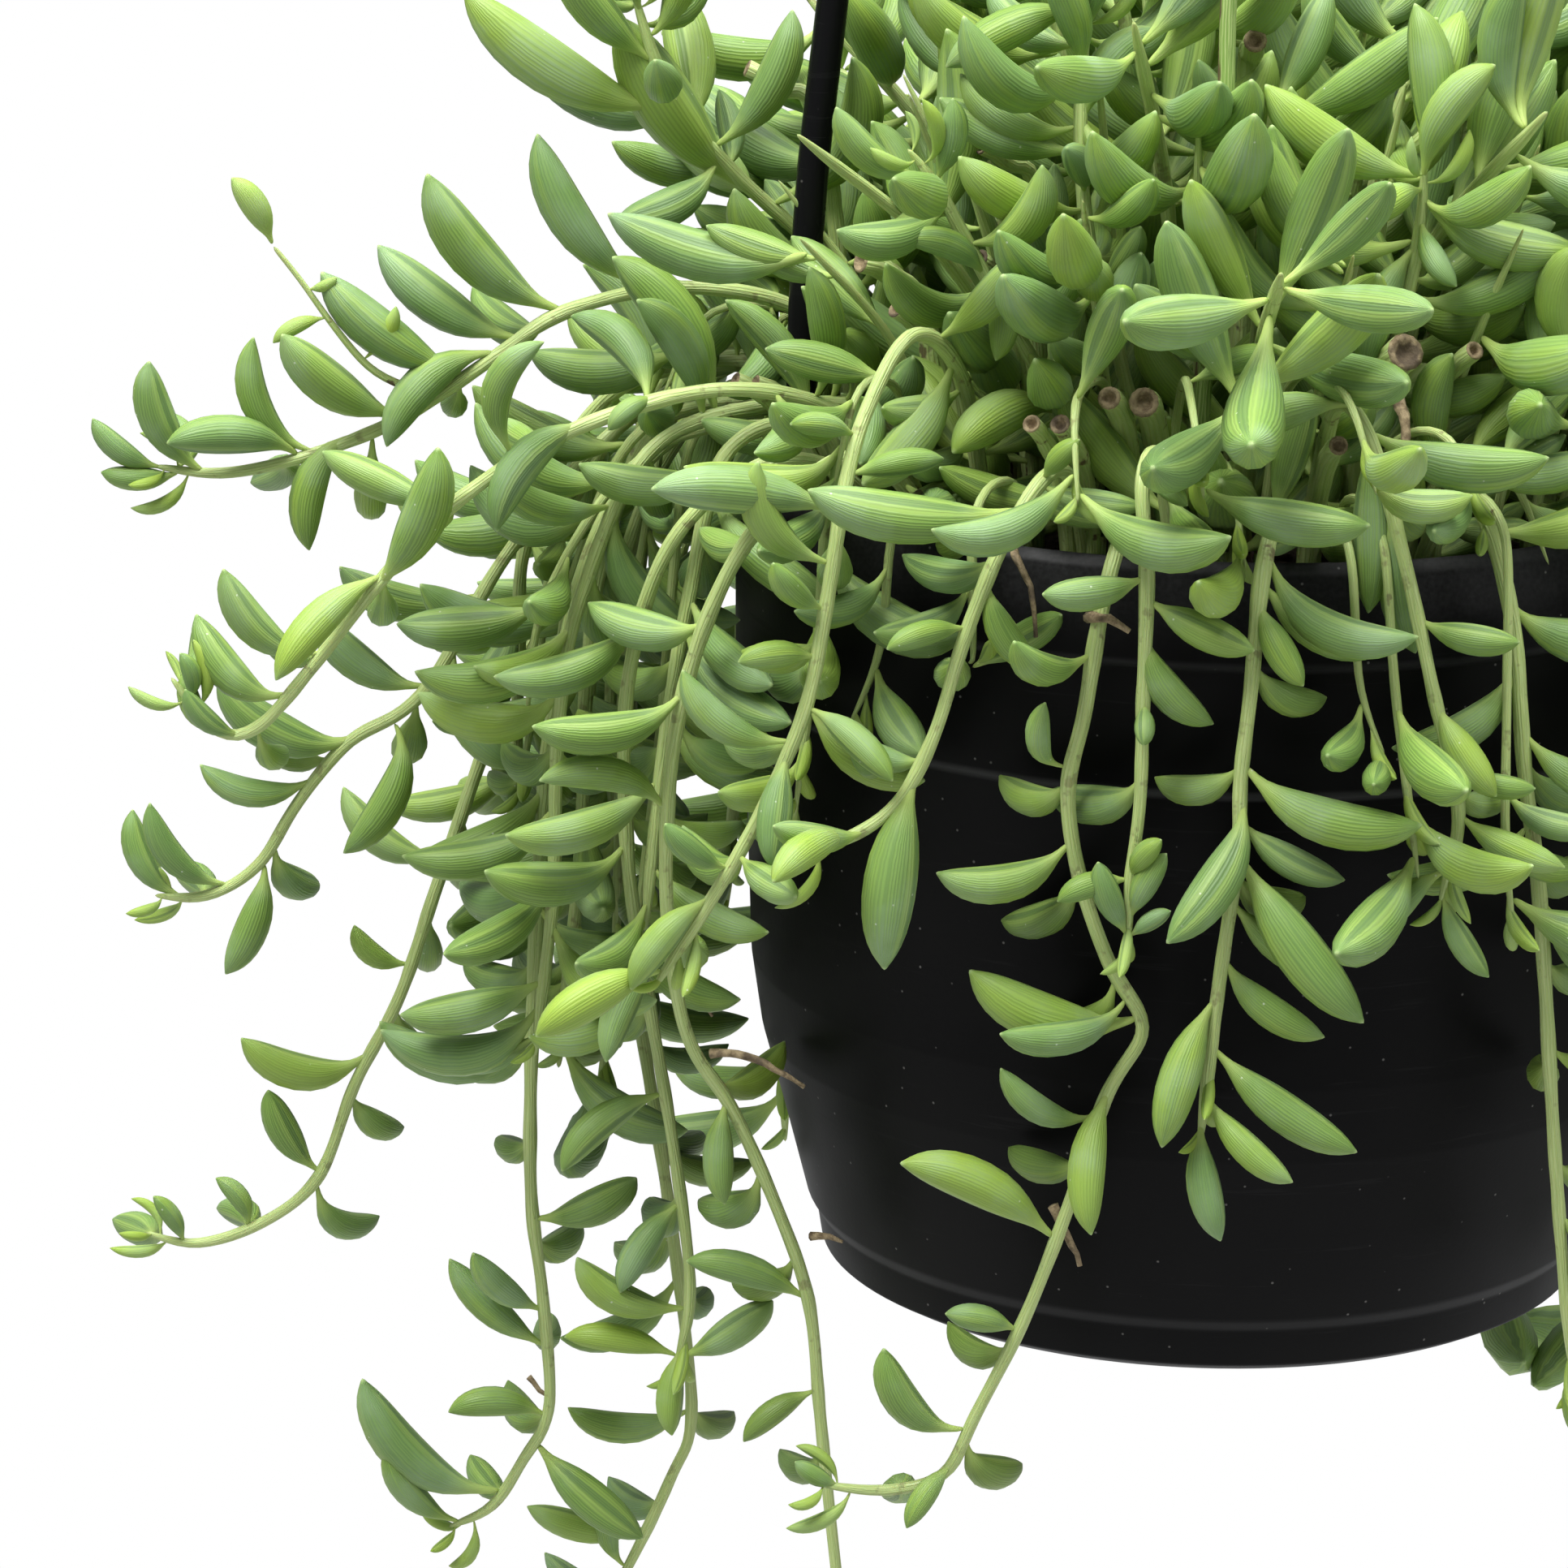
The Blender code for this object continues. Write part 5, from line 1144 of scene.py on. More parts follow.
def cut_stem(points, radius, rng):
    """A thick old stem that was cut, with a dry hollow end."""
    route = [point for _, point in smooth_route(points, 2.5)]
    path = [(point, radius * rng.uniform(0.93, 1.05)) for point in route]
    body = bmesh.new()
    extrude_tube(body, path, 12, finish=STEM_FINISH)
    body.faces.ensure_lookup_table()
    caps = [face for face in body.faces if len(face.verts) > 4]
    end = min(caps, key=lambda face: (face.calc_center_median() - route[-1]).length)
    along = (route[-1] - route[-2]).normalized()
    for inset, sink in CUT_END:
        rim = bmesh.ops.inset_individual(body, faces=[end], thickness=inset * radius, depth=0.0)["faces"]
        bmesh.ops.translate(body, vec=along * sink, verts=end.verts[:])
        for face in rim:
            face.material_index = DRY_FINISH
    end.material_index = DRY_FINISH
    return body


def fill_piece(name, route):
    """The piece that a stem that only shows belongs to, by its kind and the side that its tip is on."""
    _, kind, _ = name.split("_")
    turn = math.atan2(route[-1][1], route[-1][0]) + math.pi
    sector = int(turn / math.tau * FILL_SECTORS) % FILL_SECTORS
    return f"leaves_{kind}_{sector + 1}"


class Nodes:
    """Short ways to place and join the nodes of one tree."""

    def __init__(self, tree):
        self.tree = tree

    def add(self, kind, *inputs, **values):
        node = self.tree.nodes.new(kind)
        for key, value in values.items():
            setattr(node, key, value)
        for socket, value in zip(node.inputs, inputs):
            self.put(socket, value)
        return node

    def put(self, socket, value):
        if value is None:
            return
        if isinstance(value, bpy.types.NodeSocket):
            self.tree.links.new(value, socket)
        elif socket.type == "RGBA" and len(value) == 3:
            socket.default_value = (*value, 1.0)
        else:
            socket.default_value = value

    def fill(self, node, **values):
        """Puts values into named sockets, with _ for a space."""
        for label, value in values.items():
            self.put(node.inputs[label.replace("_", " ")], value)

    def math(self, operation, *inputs, clamp=False):
        return self.add("ShaderNodeMath", *inputs, operation=operation, use_clamp=clamp).outputs[0]

    def times(self, *inputs, clamp=False):
        return self.math("MULTIPLY", *inputs, clamp=clamp)

    def plus(self, *inputs):
        return self.math("ADD", *inputs)

    def rest(self, value):
        return self.math("SUBTRACT", 1.0, value)

    def angle(self, x, y):
        return self.math("ARCTAN2", y, x)

    def step(self, value, low, high):
        """0 below low and 1 above high, with a smooth rise."""
        return self.add("ShaderNodeMapRange", value, low, high, interpolation_type="SMOOTHSTEP").outputs[0]

    def mix(self, share, first, second):
        node = self.add("ShaderNodeMix", data_type="RGBA", blend_type="MIX", clamp_factor=True)
        self.put(node.inputs[0], share)
        self.put(node.inputs[6], first)
        self.put(node.inputs[7], second)
        return node.outputs[2]

    def layers(self, body, *coats):
        """A base colour under coats of (mask, how strong, colour)."""
        for mask, strength, colour in coats:
            body = self.mix(self.times(mask, strength), body, colour)
        return body

    def noise(self, vector, scale, detail=2.0, roughness=0.5):
        node = self.add("ShaderNodeTexNoise")
        self.fill(node, Vector=vector, Scale=scale, Detail=detail, Roughness=roughness)
        return node.outputs["Fac"]

    def specks(self, vector, scale, size):
        """Small round dots on a random few of the cells."""
        cells = self.add("ShaderNodeTexVoronoi")
        self.fill(cells, Vector=vector, Scale=scale)
        near = self.rest(self.step(cells.outputs["Distance"], self.times(size, 0.4), size))
        few = self.step(self.add("ShaderNodeSeparateColor", cells.outputs["Color"]).outputs[0], 0.72, 0.76)
        return self.times(near, few)

    def split(self, vector):
        return self.add("ShaderNodeSeparateXYZ", vector).outputs[:]

    def join(self, x, y, z):
        return self.add("ShaderNodeCombineXYZ", x, y, z).outputs[0]

    def attribute(self, name):
        return self.add("ShaderNodeAttribute", attribute_name=name).outputs["Vector"]

    def place(self):
        return self.add("ShaderNodeTexCoord").outputs["Object"]

    def bump(self, height, strength, distance):
        node = self.add("ShaderNodeBump")
        self.fill(node, Strength=strength, Distance=distance, Height=height)
        return node.outputs["Normal"]

    def surface(self, shader, colour, roughness, normal):
        self.fill(shader, Base_Color=colour, Roughness=roughness, Normal=normal)


def new_group(name, inputs, outputs):
    """An empty shader node group with named sockets: (name, kind, default)."""
    tree = bpy.data.node_groups.new(name, "ShaderNodeTree")
    for label, kind, default in inputs:
        socket = tree.interface.new_socket(label, in_out="INPUT", socket_type=kind)
        if default is not None:
            socket.default_value = default
    for label in outputs:
        tree.interface.new_socket(label, in_out="OUTPUT", socket_type="NodeSocketFloat")
    nodes = Nodes(tree)
    return nodes, nodes.add("NodeGroupInput").outputs, nodes.add("NodeGroupOutput").inputs


def use_group(nodes, name, **values):
    node = nodes.add("ShaderNodeGroup", node_tree=bpy.data.node_groups[name])
    nodes.fill(node, **values)
    return node.outputs


def streak_group():
    """Fine wavering lines along a leaf or stem, so many round it, and broad streaks."""
    nodes, given, out = new_group(
        "lengthwise_streaks",
        [("Place", "NodeSocketVector", None), ("Seed", "NodeSocketFloat", 0.0),
         ("Count", "NodeSocketFloat", LEAF_LINES)],
        ["Fine", "Broad"],
    )
    x, y, along = nodes.split(given["Place"])
    here = nodes.join(x, y, nodes.plus(nodes.times(along, 0.35), nodes.times(given["Seed"], 37.0)))
    turn = nodes.times(nodes.angle(x, y), given["Count"])
    waver = nodes.times(nodes.noise(here, 2.4, 2.0, 0.6), 14.0)
    nodes.put(out["Fine"], nodes.step(nodes.math("SINE", nodes.plus(turn, waver)), -0.8, 0.9))
    nodes.put(out["Broad"], nodes.step(nodes.noise(here, 2.4, 1.0, 0.5), 0.35, 0.65))


def dust_group():
    """Fine dust, pale specks and the grain of a surface."""
    nodes, given, out = new_group(
        "dust_and_grain",
        [("Vector", "NodeSocketVector", None), ("Grain size", "NodeSocketFloat", 900.0),
         ("Speck size", "NodeSocketFloat", 0.08), ("Patch size", "NodeSocketFloat", 30.0)],
        ["Dust", "Specks", "Grain"],
    )
    nodes.put(out["Grain"], nodes.noise(given["Vector"], given["Grain size"]))
    nodes.put(out["Dust"], nodes.step(nodes.noise(given["Vector"], given["Patch size"], 4.0), 0.42, 0.72))
    nodes.put(out["Specks"], nodes.specks(given["Vector"], 420.0, given["Speck size"]))


def new_material(name, colour):
    made = bpy.data.materials.new(name)
    made.use_nodes = True
    made.diffuse_color = (*colour, 1.0)
    return made, Nodes(made.node_tree), made.node_tree.nodes["Principled BSDF"]


def leaf_material(colours):
    """Green with fine dark lines, a dark window along its inner side, a pale base, waxy bloom, and painted
    shade on leaves deep in the mound.
    """
    _, nodes, shader = new_material("waxy_leaf", colours.leaf)
    place = nodes.attribute("place_on")
    tone, lime, depth = nodes.split(nodes.attribute("leaf_traits"))
    x, y, along = nodes.split(place)
    away = nodes.math("DIVIDE", nodes.math("ABSOLUTE", nodes.angle(x, y)), math.pi)
    streaks = use_group(nodes, "lengthwise_streaks", Place=place, Seed=tone)
    dust = use_group(nodes, "dust_and_grain", Vector=nodes.place(), Patch_size=90.0, Speck_size=0.09)
    keel = nodes.times(nodes.step(away, 0.45, 0.95), streaks["Broad"])
    # The wax bloom fades on leaves deep in the mound, part of the painted shade there
    bloom = nodes.times(dust["Dust"], nodes.rest(nodes.times(depth, 0.8)))
    bloom = nodes.times(bloom, nodes.plus(0.25, nodes.times(streaks["Fine"], 0.3)))
    middle = nodes.times(nodes.step(along, 0.1, 0.22), nodes.rest(nodes.step(along, 0.86, 0.97)))
    beside = nodes.math("SUBTRACT", nodes.step(away, 0.05, 0.1), nodes.step(away, 0.12, 0.24))
    window = nodes.rest(nodes.step(away, 0.045, 0.085))
    body = nodes.layers(
        colours.leaf,
        (streaks["Fine"], 0.72, colours.leaf_shade),
        (nodes.step(tone, 0.3, 1.0), 0.45, colours.leaf_blue),
        (keel, 0.4, colours.leaf_lime),
        (lime, 0.75, colours.leaf_lime),
        (bloom, 1.0, colours.bloom),
        # Painted shade: leaves deep in the mound take the darker olive shade colour
        (depth, 0.4, colours.leaf_deep_shade),
        (nodes.times(beside, middle), 0.28, colours.petiole),
        (nodes.times(window, middle), 0.5, colours.window),
        (nodes.rest(nodes.step(along, 0.04, 0.3)), 1.0, colours.petiole),
        (nodes.step(along, 0.962, 0.99), 0.8, colours.leaf_point),
        (dust["Specks"], 0.5, LEAF_SPECKS),
    )
    rough = nodes.plus(0.42, nodes.times(bloom, 0.5))
    height = nodes.plus(nodes.times(streaks["Fine"], 0.6), nodes.times(window, -1.0))
    nodes.surface(shader, body, rough, nodes.bump(height, 0.5, 0.00012))
    shader.inputs["Subsurface Weight"].default_value = 0.12
    shader.inputs["Subsurface Radius"].default_value = (0.5, 1.0, 0.2)
    shader.inputs["Subsurface Scale"].default_value = 0.003
    shader.inputs["Specular IOR Level"].default_value = 0.32


def stem_streaks(nodes, seed, count):
    """Lines along a stem, and the place round it and along it."""
    x, y, along = nodes.split(nodes.attribute("place_on"))
    here = nodes.join(x, y, nodes.times(along, 0.12))
    return use_group(nodes, "lengthwise_streaks", Place=here, Seed=seed, Count=count), y, along


def stem_material(colours):
    """Pale green, with brown scars that gather near the root."""
    _, nodes, shader = new_material("stem_skin", colours.stem)
    age, _, _ = nodes.split(nodes.attribute("leaf_traits"))
    streaks, _, along = stem_streaks(nodes, age, 14.0)
    scars = nodes.step(nodes.noise(nodes.place(), 260.0, 3.0, 0.6), 0.6, 0.69)
    woody = nodes.times(nodes.rest(nodes.step(along, 20.0, 70.0)), 0.7)
    body = nodes.layers(
        colours.stem,
        (streaks["Fine"], 0.5, colours.petiole),
        (streaks["Broad"], 0.2, colours.leaf),
        (nodes.times(scars, nodes.plus(0.45, woody), clamp=True), 1.0, colours.stem_brown),
    )
    height = nodes.plus(streaks["Fine"], nodes.times(scars, -0.8))
    nodes.surface(shader, body, nodes.plus(0.48, nodes.times(scars, 0.25)), nodes.bump(height, 0.6, 0.0002))
    shader.inputs["Subsurface Weight"].default_value = 0.08
    shader.inputs["Subsurface Scale"].default_value = 0.002


def stalk_material(colours):
    """The flower stalk: green, with a dry brown side."""
    _, nodes, shader = new_material("stalk_skin", colours.stem)
    streaks, y, _ = stem_streaks(nodes, 0.3, 16.0)
    dry_side = nodes.plus(nodes.times(y, 0.35), nodes.noise(nodes.place(), 140.0, 3.0, 0.6))
    body = nodes.layers(
        colours.leaf,
        (streaks["Fine"], 0.6, colours.stem),
        (nodes.step(dry_side, 0.62, 0.74), 1.0, colours.stem_brown),
    )
    nodes.surface(shader, body, 0.5, nodes.bump(streaks["Fine"], 0.5, 0.0002))


def dry_material(colours):
    """Dry brown roots and the corky ends of cut stems."""
    _, nodes, shader = new_material("dry_wood", colours.stem_brown)
    where = nodes.place()
    grain = nodes.noise(where, 700.0, 4.0, 0.7)
    patches = nodes.step(nodes.noise(where, 190.0, 3.0, 0.6), 0.5, 0.62)
    body = nodes.layers(
        colours.stem_brown, (nodes.step(grain, 0.3, 0.7), 1.0, LIGHT_CORK), (patches, 0.7, DARK_CORK),
    )
    nodes.surface(shader, body, 0.85, nodes.bump(grain, 0.8, 0.0004))


def plastic_material(name, colour, roughness, dusty, edges=()):
    """Black plastic with a little dust and fine scratches, with a painted highlight along these edges:
    (height, how much). The lip between the two highest edges is lighter, partly dust and partly painted
    sheen.
    """
    _, nodes, shader = new_material(name, colour)
    where = nodes.place()
    dust = use_group(nodes, "dust_and_grain", Vector=where, Grain_size=1400.0, Speck_size=0.11)
    drawn_out = nodes.add("ShaderNodeMapping", where, None, None, SCRATCH_SCALE).outputs[0]
    scratches = nodes.step(nodes.noise(drawn_out, 1.0, 3.0, 0.6), 0.62, 0.7)
    body = nodes.layers(
        colour,
        (dust["Dust"], 0.008 * dusty, DUST),
        (scratches, 0.012 * dusty, SCRATCH_AND_SHEEN_GREY),
        (dust["Specks"], 0.35 * dusty, PALE_SPECKS),
    )
    height = nodes.split(where)[2]
    # Painted highlight: a thin lighter band at each of these edge heights
    for place, shine in edges:
        away = nodes.math("ABSOLUTE", nodes.math("SUBTRACT", height, (place - HOOK_HEIGHT) * MM))
        body = nodes.layers(body, (nodes.rest(nodes.step(away, 0.0003, 0.0011)), 0.045 * shine, EDGE_HIGHLIGHT_GREY))
    # The lip is lighter from the second edge up to the first, broken up by the grain: partly dust, partly
    # painted sheen
    if edges:
        lip_dust_and_sheen = nodes.step(height, (edges[1][0] - HOOK_HEIGHT) * MM, (edges[0][0] - HOOK_HEIGHT) * MM)
        body = nodes.layers(body, (nodes.times(lip_dust_and_sheen, dust["Grain"]), 0.045, SCRATCH_AND_SHEEN_GREY))
    rough = nodes.plus(nodes.plus(roughness, nodes.times(dust["Dust"], 0.08)), nodes.times(scratches, 0.05))
    nodes.surface(shader, body, rough, nodes.bump(dust["Grain"], 0.12, 0.0001))
    shader.inputs["Specular IOR Level"].default_value = 0.08


def soil_material(colours):
    _, nodes, shader = new_material("potting_soil", colours.soil)
    where = nodes.place()
    crumbs = nodes.noise(where, 320.0, 5.0, 0.7)
    body = nodes.layers(
        colours.soil,
        (nodes.step(crumbs, 0.35, 0.7), 1.0, LIGHT_SOIL),
        (nodes.specks(where, 260.0, 0.16), 1.0, PALE_CRUMBS),
    )
    nodes.surface(shader, body, 0.95, nodes.bump(crumbs, 0.9, 0.0012))


def pot_body():
    """The pot's shell with rounded edges."""
    body = turned_body(
        [(0.0, FLOOR_UNDER), (FOOT_INNER_RADIUS - 1.5, FLOOR_UNDER), (FOOT_INNER_RADIUS, 0.0),
         *POT_OUTSIDE, (RIM_RADIUS, RIM_TOP), *POT_INSIDE, (0.0, FLOOR_TOP)],
        POT_STEPS,
    )
    rings = []
    for edge in body.edges:
        one, two = (vert.co for vert in edge.verts)
        level = abs(one.z - two.z) < 1e-4 and abs(one.xy.length - two.xy.length) < 1e-3
        if level and one.xy.length > 5:
            rings.append(edge)
    bmesh.ops.bevel(
        body, geom=rings, offset=POT_ROUNDING, offset_type="OFFSET", segments=2, profile=0.5, affect="EDGES",
        material=-1, clamp_overlap=True,
    )
    return body


def lug_body(azimuth):
    """The ear inside the wall that an arm hangs on."""
    body = bmesh.new()
    bmesh.ops.create_cube(body, size=1.0)
    outer = POT_INSIDE[1][0] + 0.6 * WALL
    depth = outer - LUG_RADIUS_IN
    place = Matrix.Rotation(math.radians(azimuth), 4, "Z")
    shift = Matrix.Translation((0, -(outer - 0.5 * depth), 0.5 * (LUG_BOTTOM + LUG_TOP)))
    size = Matrix.Diagonal((2 * LUG_HALF_WIDTH, depth, LUG_TOP - LUG_BOTTOM, 1))
    bmesh.ops.transform(body, matrix=place @ shift @ size, verts=body.verts[:])
    upright = [edge for edge in body.edges if abs(edge.verts[0].co.z - edge.verts[1].co.z) > 1]
    bmesh.ops.bevel(body, geom=upright, offset=0.8, segments=2, profile=0.5, affect="EDGES", material=-1)
    return body


def soil_body():
    """The root ball, uneven on top and strewn with crumbs."""
    top_radius = POT_INSIDE[1][0] - GAP
    low_radius, low_height = POT_INSIDE[-1]
    side = [(radius - GAP, height) for radius, height in POT_INSIDE if FLOOR_TOP < height < SOIL_TOP]
    rings = [(top_radius * (1 - k / SOIL_RINGS), SOIL_TOP) for k in range(1, SOIL_RINGS)]
    body = turned_body(
        [(0.0, low_height + GAP), (low_radius - GAP, low_height + GAP), *side[::-1],
         (top_radius, SOIL_TOP - 1.5), *rings, (0.0, SOIL_TOP)],
        SOIL_STEPS,
    )
    for vert in body.verts:
        if vert.co.z > SOIL_TOP - 0.5:
            vert.co.z += 2.2 * noise.fractal(vert.co * 0.11, 0.9, 2.0, 3) - 0.6
    rng = random.Random(SEED + 50)
    for _ in range(CRUMB_COUNT):
        out, turn = CRUMB_FIELD * math.sqrt(rng.random()), rng.uniform(0, math.tau)
        spot = Vector((out * math.cos(turn), out * math.sin(turn), SOIL_TOP + rng.uniform(-0.8, 1.0)))
        size = rng.uniform(*CRUMB_SIZE)
        flat = Matrix.Diagonal((size, 0.7 * size, 0.6 * size, 1))
        place = Matrix.Translation(spot) @ Matrix.Rotation(turn * 5, 4, "X") @ flat
        bmesh.ops.create_icosphere(body, subdivisions=1, radius=1.0, matrix=place)
    return body


def arm_body(azimuth):
    """An arm with its rounded button. Its rows hold radius from the axis, height and thickness."""
    rows = [Vector(row) for row in ARM_STATIONS]
    low, lift = rows[0], rows[1]
    button = [
        (low.x, low.y, 0.7 * low.z), (low.x, low.y + 0.4, low.z), (lift.x, lift.y - 0.6, lift.z),
        (lift.x, lift.y, 0.86 * lift.z), (lift.x, lift.y + 0.1, rows[2].z),
    ]
    rod = [row for _, row in smooth_route(rows[3:], 5.0)]
    body = bmesh.new()
    path = [(on_circle(radius, azimuth, height), 0.5 * thick) for radius, height, thick in (*button, *rod)]
    extrude_tube(body, path, HANGER_FACETS)
    return body


def hub_body():
    return turned_body(
        [(0.0, HUB_BOTTOM), (HUB_RADIUS - 1.5, HUB_BOTTOM), (HUB_RADIUS - 0.4, HUB_BOTTOM + 0.4),
         (HUB_RADIUS, HUB_BOTTOM + 1.5), (HUB_RADIUS, HUB_TOP - 4), (HUB_RADIUS - 0.9, HUB_TOP - 2.2),
         (HUB_RADIUS - 4, HUB_TOP), (0.0, HUB_TOP)],
        HUB_STEPS,
    )


def bend_body():
    """The hook's rod, rounded at its free end."""
    points = [point for _, point in smooth_route([point for point, _ in hook_stations()], 2.0)]
    path = [(point, 0.5 * HOOK_THICKNESS) for point in points]
    path[0] = (points[0], 0.3 * HOOK_THICKNESS)
    body = bmesh.new()
    extrude_tube(body, path, HANGER_FACETS)
    return body


def cut_stems_body(rng):
    body = bmesh.new()
    for x, y, z, thick in CUT_STEMS:
        end = Vector((x, y, z))
        out = Vector((x, y, 0)).normalized()
        slant = rng.uniform(0.2, 0.6)
        root = Vector((0.75 * x, 0.75 * y, SOIL_TOP - 4))
        bend = end - out * 12 - Vector((0, 0, 12))
        near = end - out * 5 - Vector((0, 0, 5 * slant + 1))
        add_part(body, cut_stem([root, bend, near, end], 0.5 * thick, rng))
    return body


def dry_roots_body(rng):
    body = bmesh.new()
    for points, thick in DRY_ROOTS:
        route = [point for _, point in smooth_route(points, 1.6)]
        last = len(route) - 1
        path = []
        for i, point in enumerate(route):
            wander = Vector([rng.uniform(-0.22, 0.22) for _ in range(3)])
            path.append((point + wander, 0.5 * thick * (1 - 0.55 * i / last) * rng.uniform(0.85, 1.15)))
        root = bmesh.new()
        extrude_tube(root, path, 7, finish=DRY_FINISH)
        add_part(body, root)
    return body


def thin_sprout_body():
    """A thin bare shoot with one full leaf at its tip and a few small ones."""
    pattern = leaf_pattern()
    body = tapered_stem(THIN_SPROUT, (0.75, 0.4))
    heading = Vector(SPROUT_LEAF_HEADING).normalized()
    leaf = Leaf(Vector(THIN_SPROUT[-1]), heading, Vector((0.86, 0, 0.5)), 12.0, 0.25)
    leaf.traits = (0.5, 0.9, 0.0)
    leaf.fullness = 1.15
    add_leaf(body, pattern, leaf, Vector(), 1.0)
    for place, angle, length in SPROUT_LEAVES:
        small = drawn_leaf(THIN_SPROUT, place, angle, length, 10, 0.5)
        small.traits = (0.3, 1.0, 0.0)
        add_leaf(body, pattern, small, Vector(), 0.8)
    bpy.data.meshes.remove(pattern)
    return body


def glow_for_camera(nodes, lit, glow, output):
    """The camera sees a plain glow in place of the lit surface or air."""
    seen = nodes.add("ShaderNodeLightPath").outputs["Is Camera Ray"]
    both = nodes.add("ShaderNodeMixShader", seen, lit.outputs[0], glow.outputs[0])
    nodes.put(output, both.outputs[0])


def lay_floor(glow):
    body = bmesh.new()
    bmesh.ops.create_grid(body, x_segments=2, y_segments=2, size=FLOOR_HALF_SIDE)
    floor = linked_object("studio_floor", body, Matrix.Translation((0, 0, -FLOOR_DEPTH)))
    made, nodes, shader = new_material("pale_backdrop", (0.9, 0.9, 0.9))
    shader.inputs["Base Color"].default_value = FLOOR_COLOUR
    shader.inputs["Roughness"].default_value = 0.9
    bright = nodes.add("ShaderNodeEmission", (1, 1, 1), glow)
    glow_for_camera(nodes, shader, bright, made.node_tree.nodes["Material Output"].inputs["Surface"])
    floor.data.materials.append(made)


def fill_air(scene, glow):
    world = bpy.data.worlds.new("studio_air")
    world.use_nodes = True
    nodes = Nodes(world.node_tree)
    plain = world.node_tree.nodes["Background"]
    plain.inputs["Color"].default_value = AIR_COLOUR
    plain.inputs["Strength"].default_value = AIR_STRENGTH
    bright = nodes.add("ShaderNodeBackground", (1, 1, 1), glow)
    glow_for_camera(nodes, plain, bright, world.node_tree.nodes["World Output"].inputs["Surface"])
    scene.world = world


def hang_light(scene, name, power, size, place):
    """A square soft light that points at the plant."""
    lamp = bpy.data.lights.new(name, "AREA")
    lamp.energy = power
    lamp.size = size
    light = bpy.data.objects.new(name, lamp)
    light.location = place
    light.rotation_mode = "QUATERNION"
    light.rotation_quaternion = (Vector(LIT_POINT) - Vector(place)).to_track_quat("-Z", "Y")
    scene.collection.objects.link(light)


def set_camera(scene):
    lens = bpy.data.cameras.new("photo_view")
    lens.lens = CAMERA_LENS
    lens.sensor_width = 36.0
    lens.clip_start = 0.05
    lens.clip_end = 100.0
    camera = bpy.data.objects.new("photo_view", lens)
    camera.location = Vector(CAMERA_PLACE) * MM - Vector((0, 0, HOOK_HEIGHT * MM))
    turned = Matrix.Rotation(math.pi / 2 - CAMERA_DOWN, 4, "X") @ Matrix.Rotation(CAMERA_ROLL, 4, "Z")
    camera.rotation_euler = turned.to_euler()
    scene.collection.objects.link(camera)
    scene.camera = camera


def colour_property(**values):
    return FloatVectorProperty(subtype="COLOR", size=3, min=0, max=1, **values)


class PlantSizes(bpy.types.PropertyGroup):
    """Sizes that a user would change."""

    trail_step: FloatProperty(
        name="Leaf spacing", description="Distance between the leaves of a hanging stem", default=9.0 * MM,
        min=0.004, max=0.03, unit="LENGTH",
    )
    fill_shoots: IntProperty(
        name="Filling shoots", description="Shoots between the main ones of the mound", default=48,
        min=0, max=90,
    )
    fill_leaves: IntProperty(
        name="Leaves on each", description="Leaves on each filling shoot", default=14, min=4, max=20,
    )
    rim_shoots: IntProperty(
        name="Shoots at the rim", description="Short shoots that lean over the rim", default=76,
        min=0, max=90,
    )
    plump: FloatProperty(
        name="Leaf thickness", description="Thickness of the leaves against the plain model", default=1.0,
        min=0.8, max=1.3, subtype="FACTOR",
    )


class PlantColours(bpy.types.PropertyGroup):
    """Colours that a user would change."""

    leaf: colour_property(name="Leaf", description="Grown leaf", default=(0.19, 0.31, 0.062))
    leaf_shade: colour_property(
        name="Leaf lines", description="Darker lines along a leaf", default=(0.1, 0.185, 0.038),
    )
    leaf_blue: colour_property(
        name="Blue leaf", description="Leaves with more wax", default=(0.13, 0.235, 0.1),
    )
    leaf_lime: colour_property(
        name="Young leaf", description="Young leaves and the light keel", default=(0.33, 0.46, 0.055),
    )
    # Painted shade: the darker olive green of leaves deep in the mound
    leaf_deep_shade: colour_property(
        name="Shaded leaf", description="Leaves deep in the mound", default=(0.12, 0.17, 0.018),
    )
    bloom: colour_property(
        name="Wax bloom", description="Pale wax on the leaves", default=(0.3, 0.42, 0.26),
    )
    window: colour_property(
        name="Leaf window", description="Dark stripe along the inner side of a leaf",
        default=(0.09, 0.155, 0.06),
    )
    petiole: colour_property(
        name="Leaf base", description="Pale base of a leaf", default=(0.38, 0.5, 0.13),
    )
    leaf_point: colour_property(
        name="Leaf point", description="Dry point of a leaf", default=(0.42, 0.55, 0.24),
    )
    stem: colour_property(name="Stem", description="Green stems", default=(0.46, 0.56, 0.22))
    stem_brown: colour_property(
        name="Scars", description="Scars and woody parts of the stems", default=(0.13, 0.09, 0.045),
    )
    pot: colour_property(
        name="Pot", description="Black plastic of the pot", default=(0.002, 0.002, 0.0021),
    )
    hanger: colour_property(
        name="Hanger", description="Black plastic of the hanger", default=(0.005, 0.005, 0.0055),
    )
    soil: colour_property(name="Soil", description="Dark potting soil", default=(0.03, 0.019, 0.012))


class StudioSettings(bpy.types.PropertyGroup):
    """Lights and backdrop."""

    key_power: FloatProperty(
        name="Key light", description="Large soft light above and in front", default=69.0,
        min=0, unit="POWER",
    )
    fill_power: FloatProperty(
        name="Fill light", description="Soft light from the right", default=7.5, min=0, unit="POWER",
    )
    backdrop: FloatProperty(
        name="Backdrop glow", description="Brightness of the plain backdrop", default=1.0, min=0,
    )


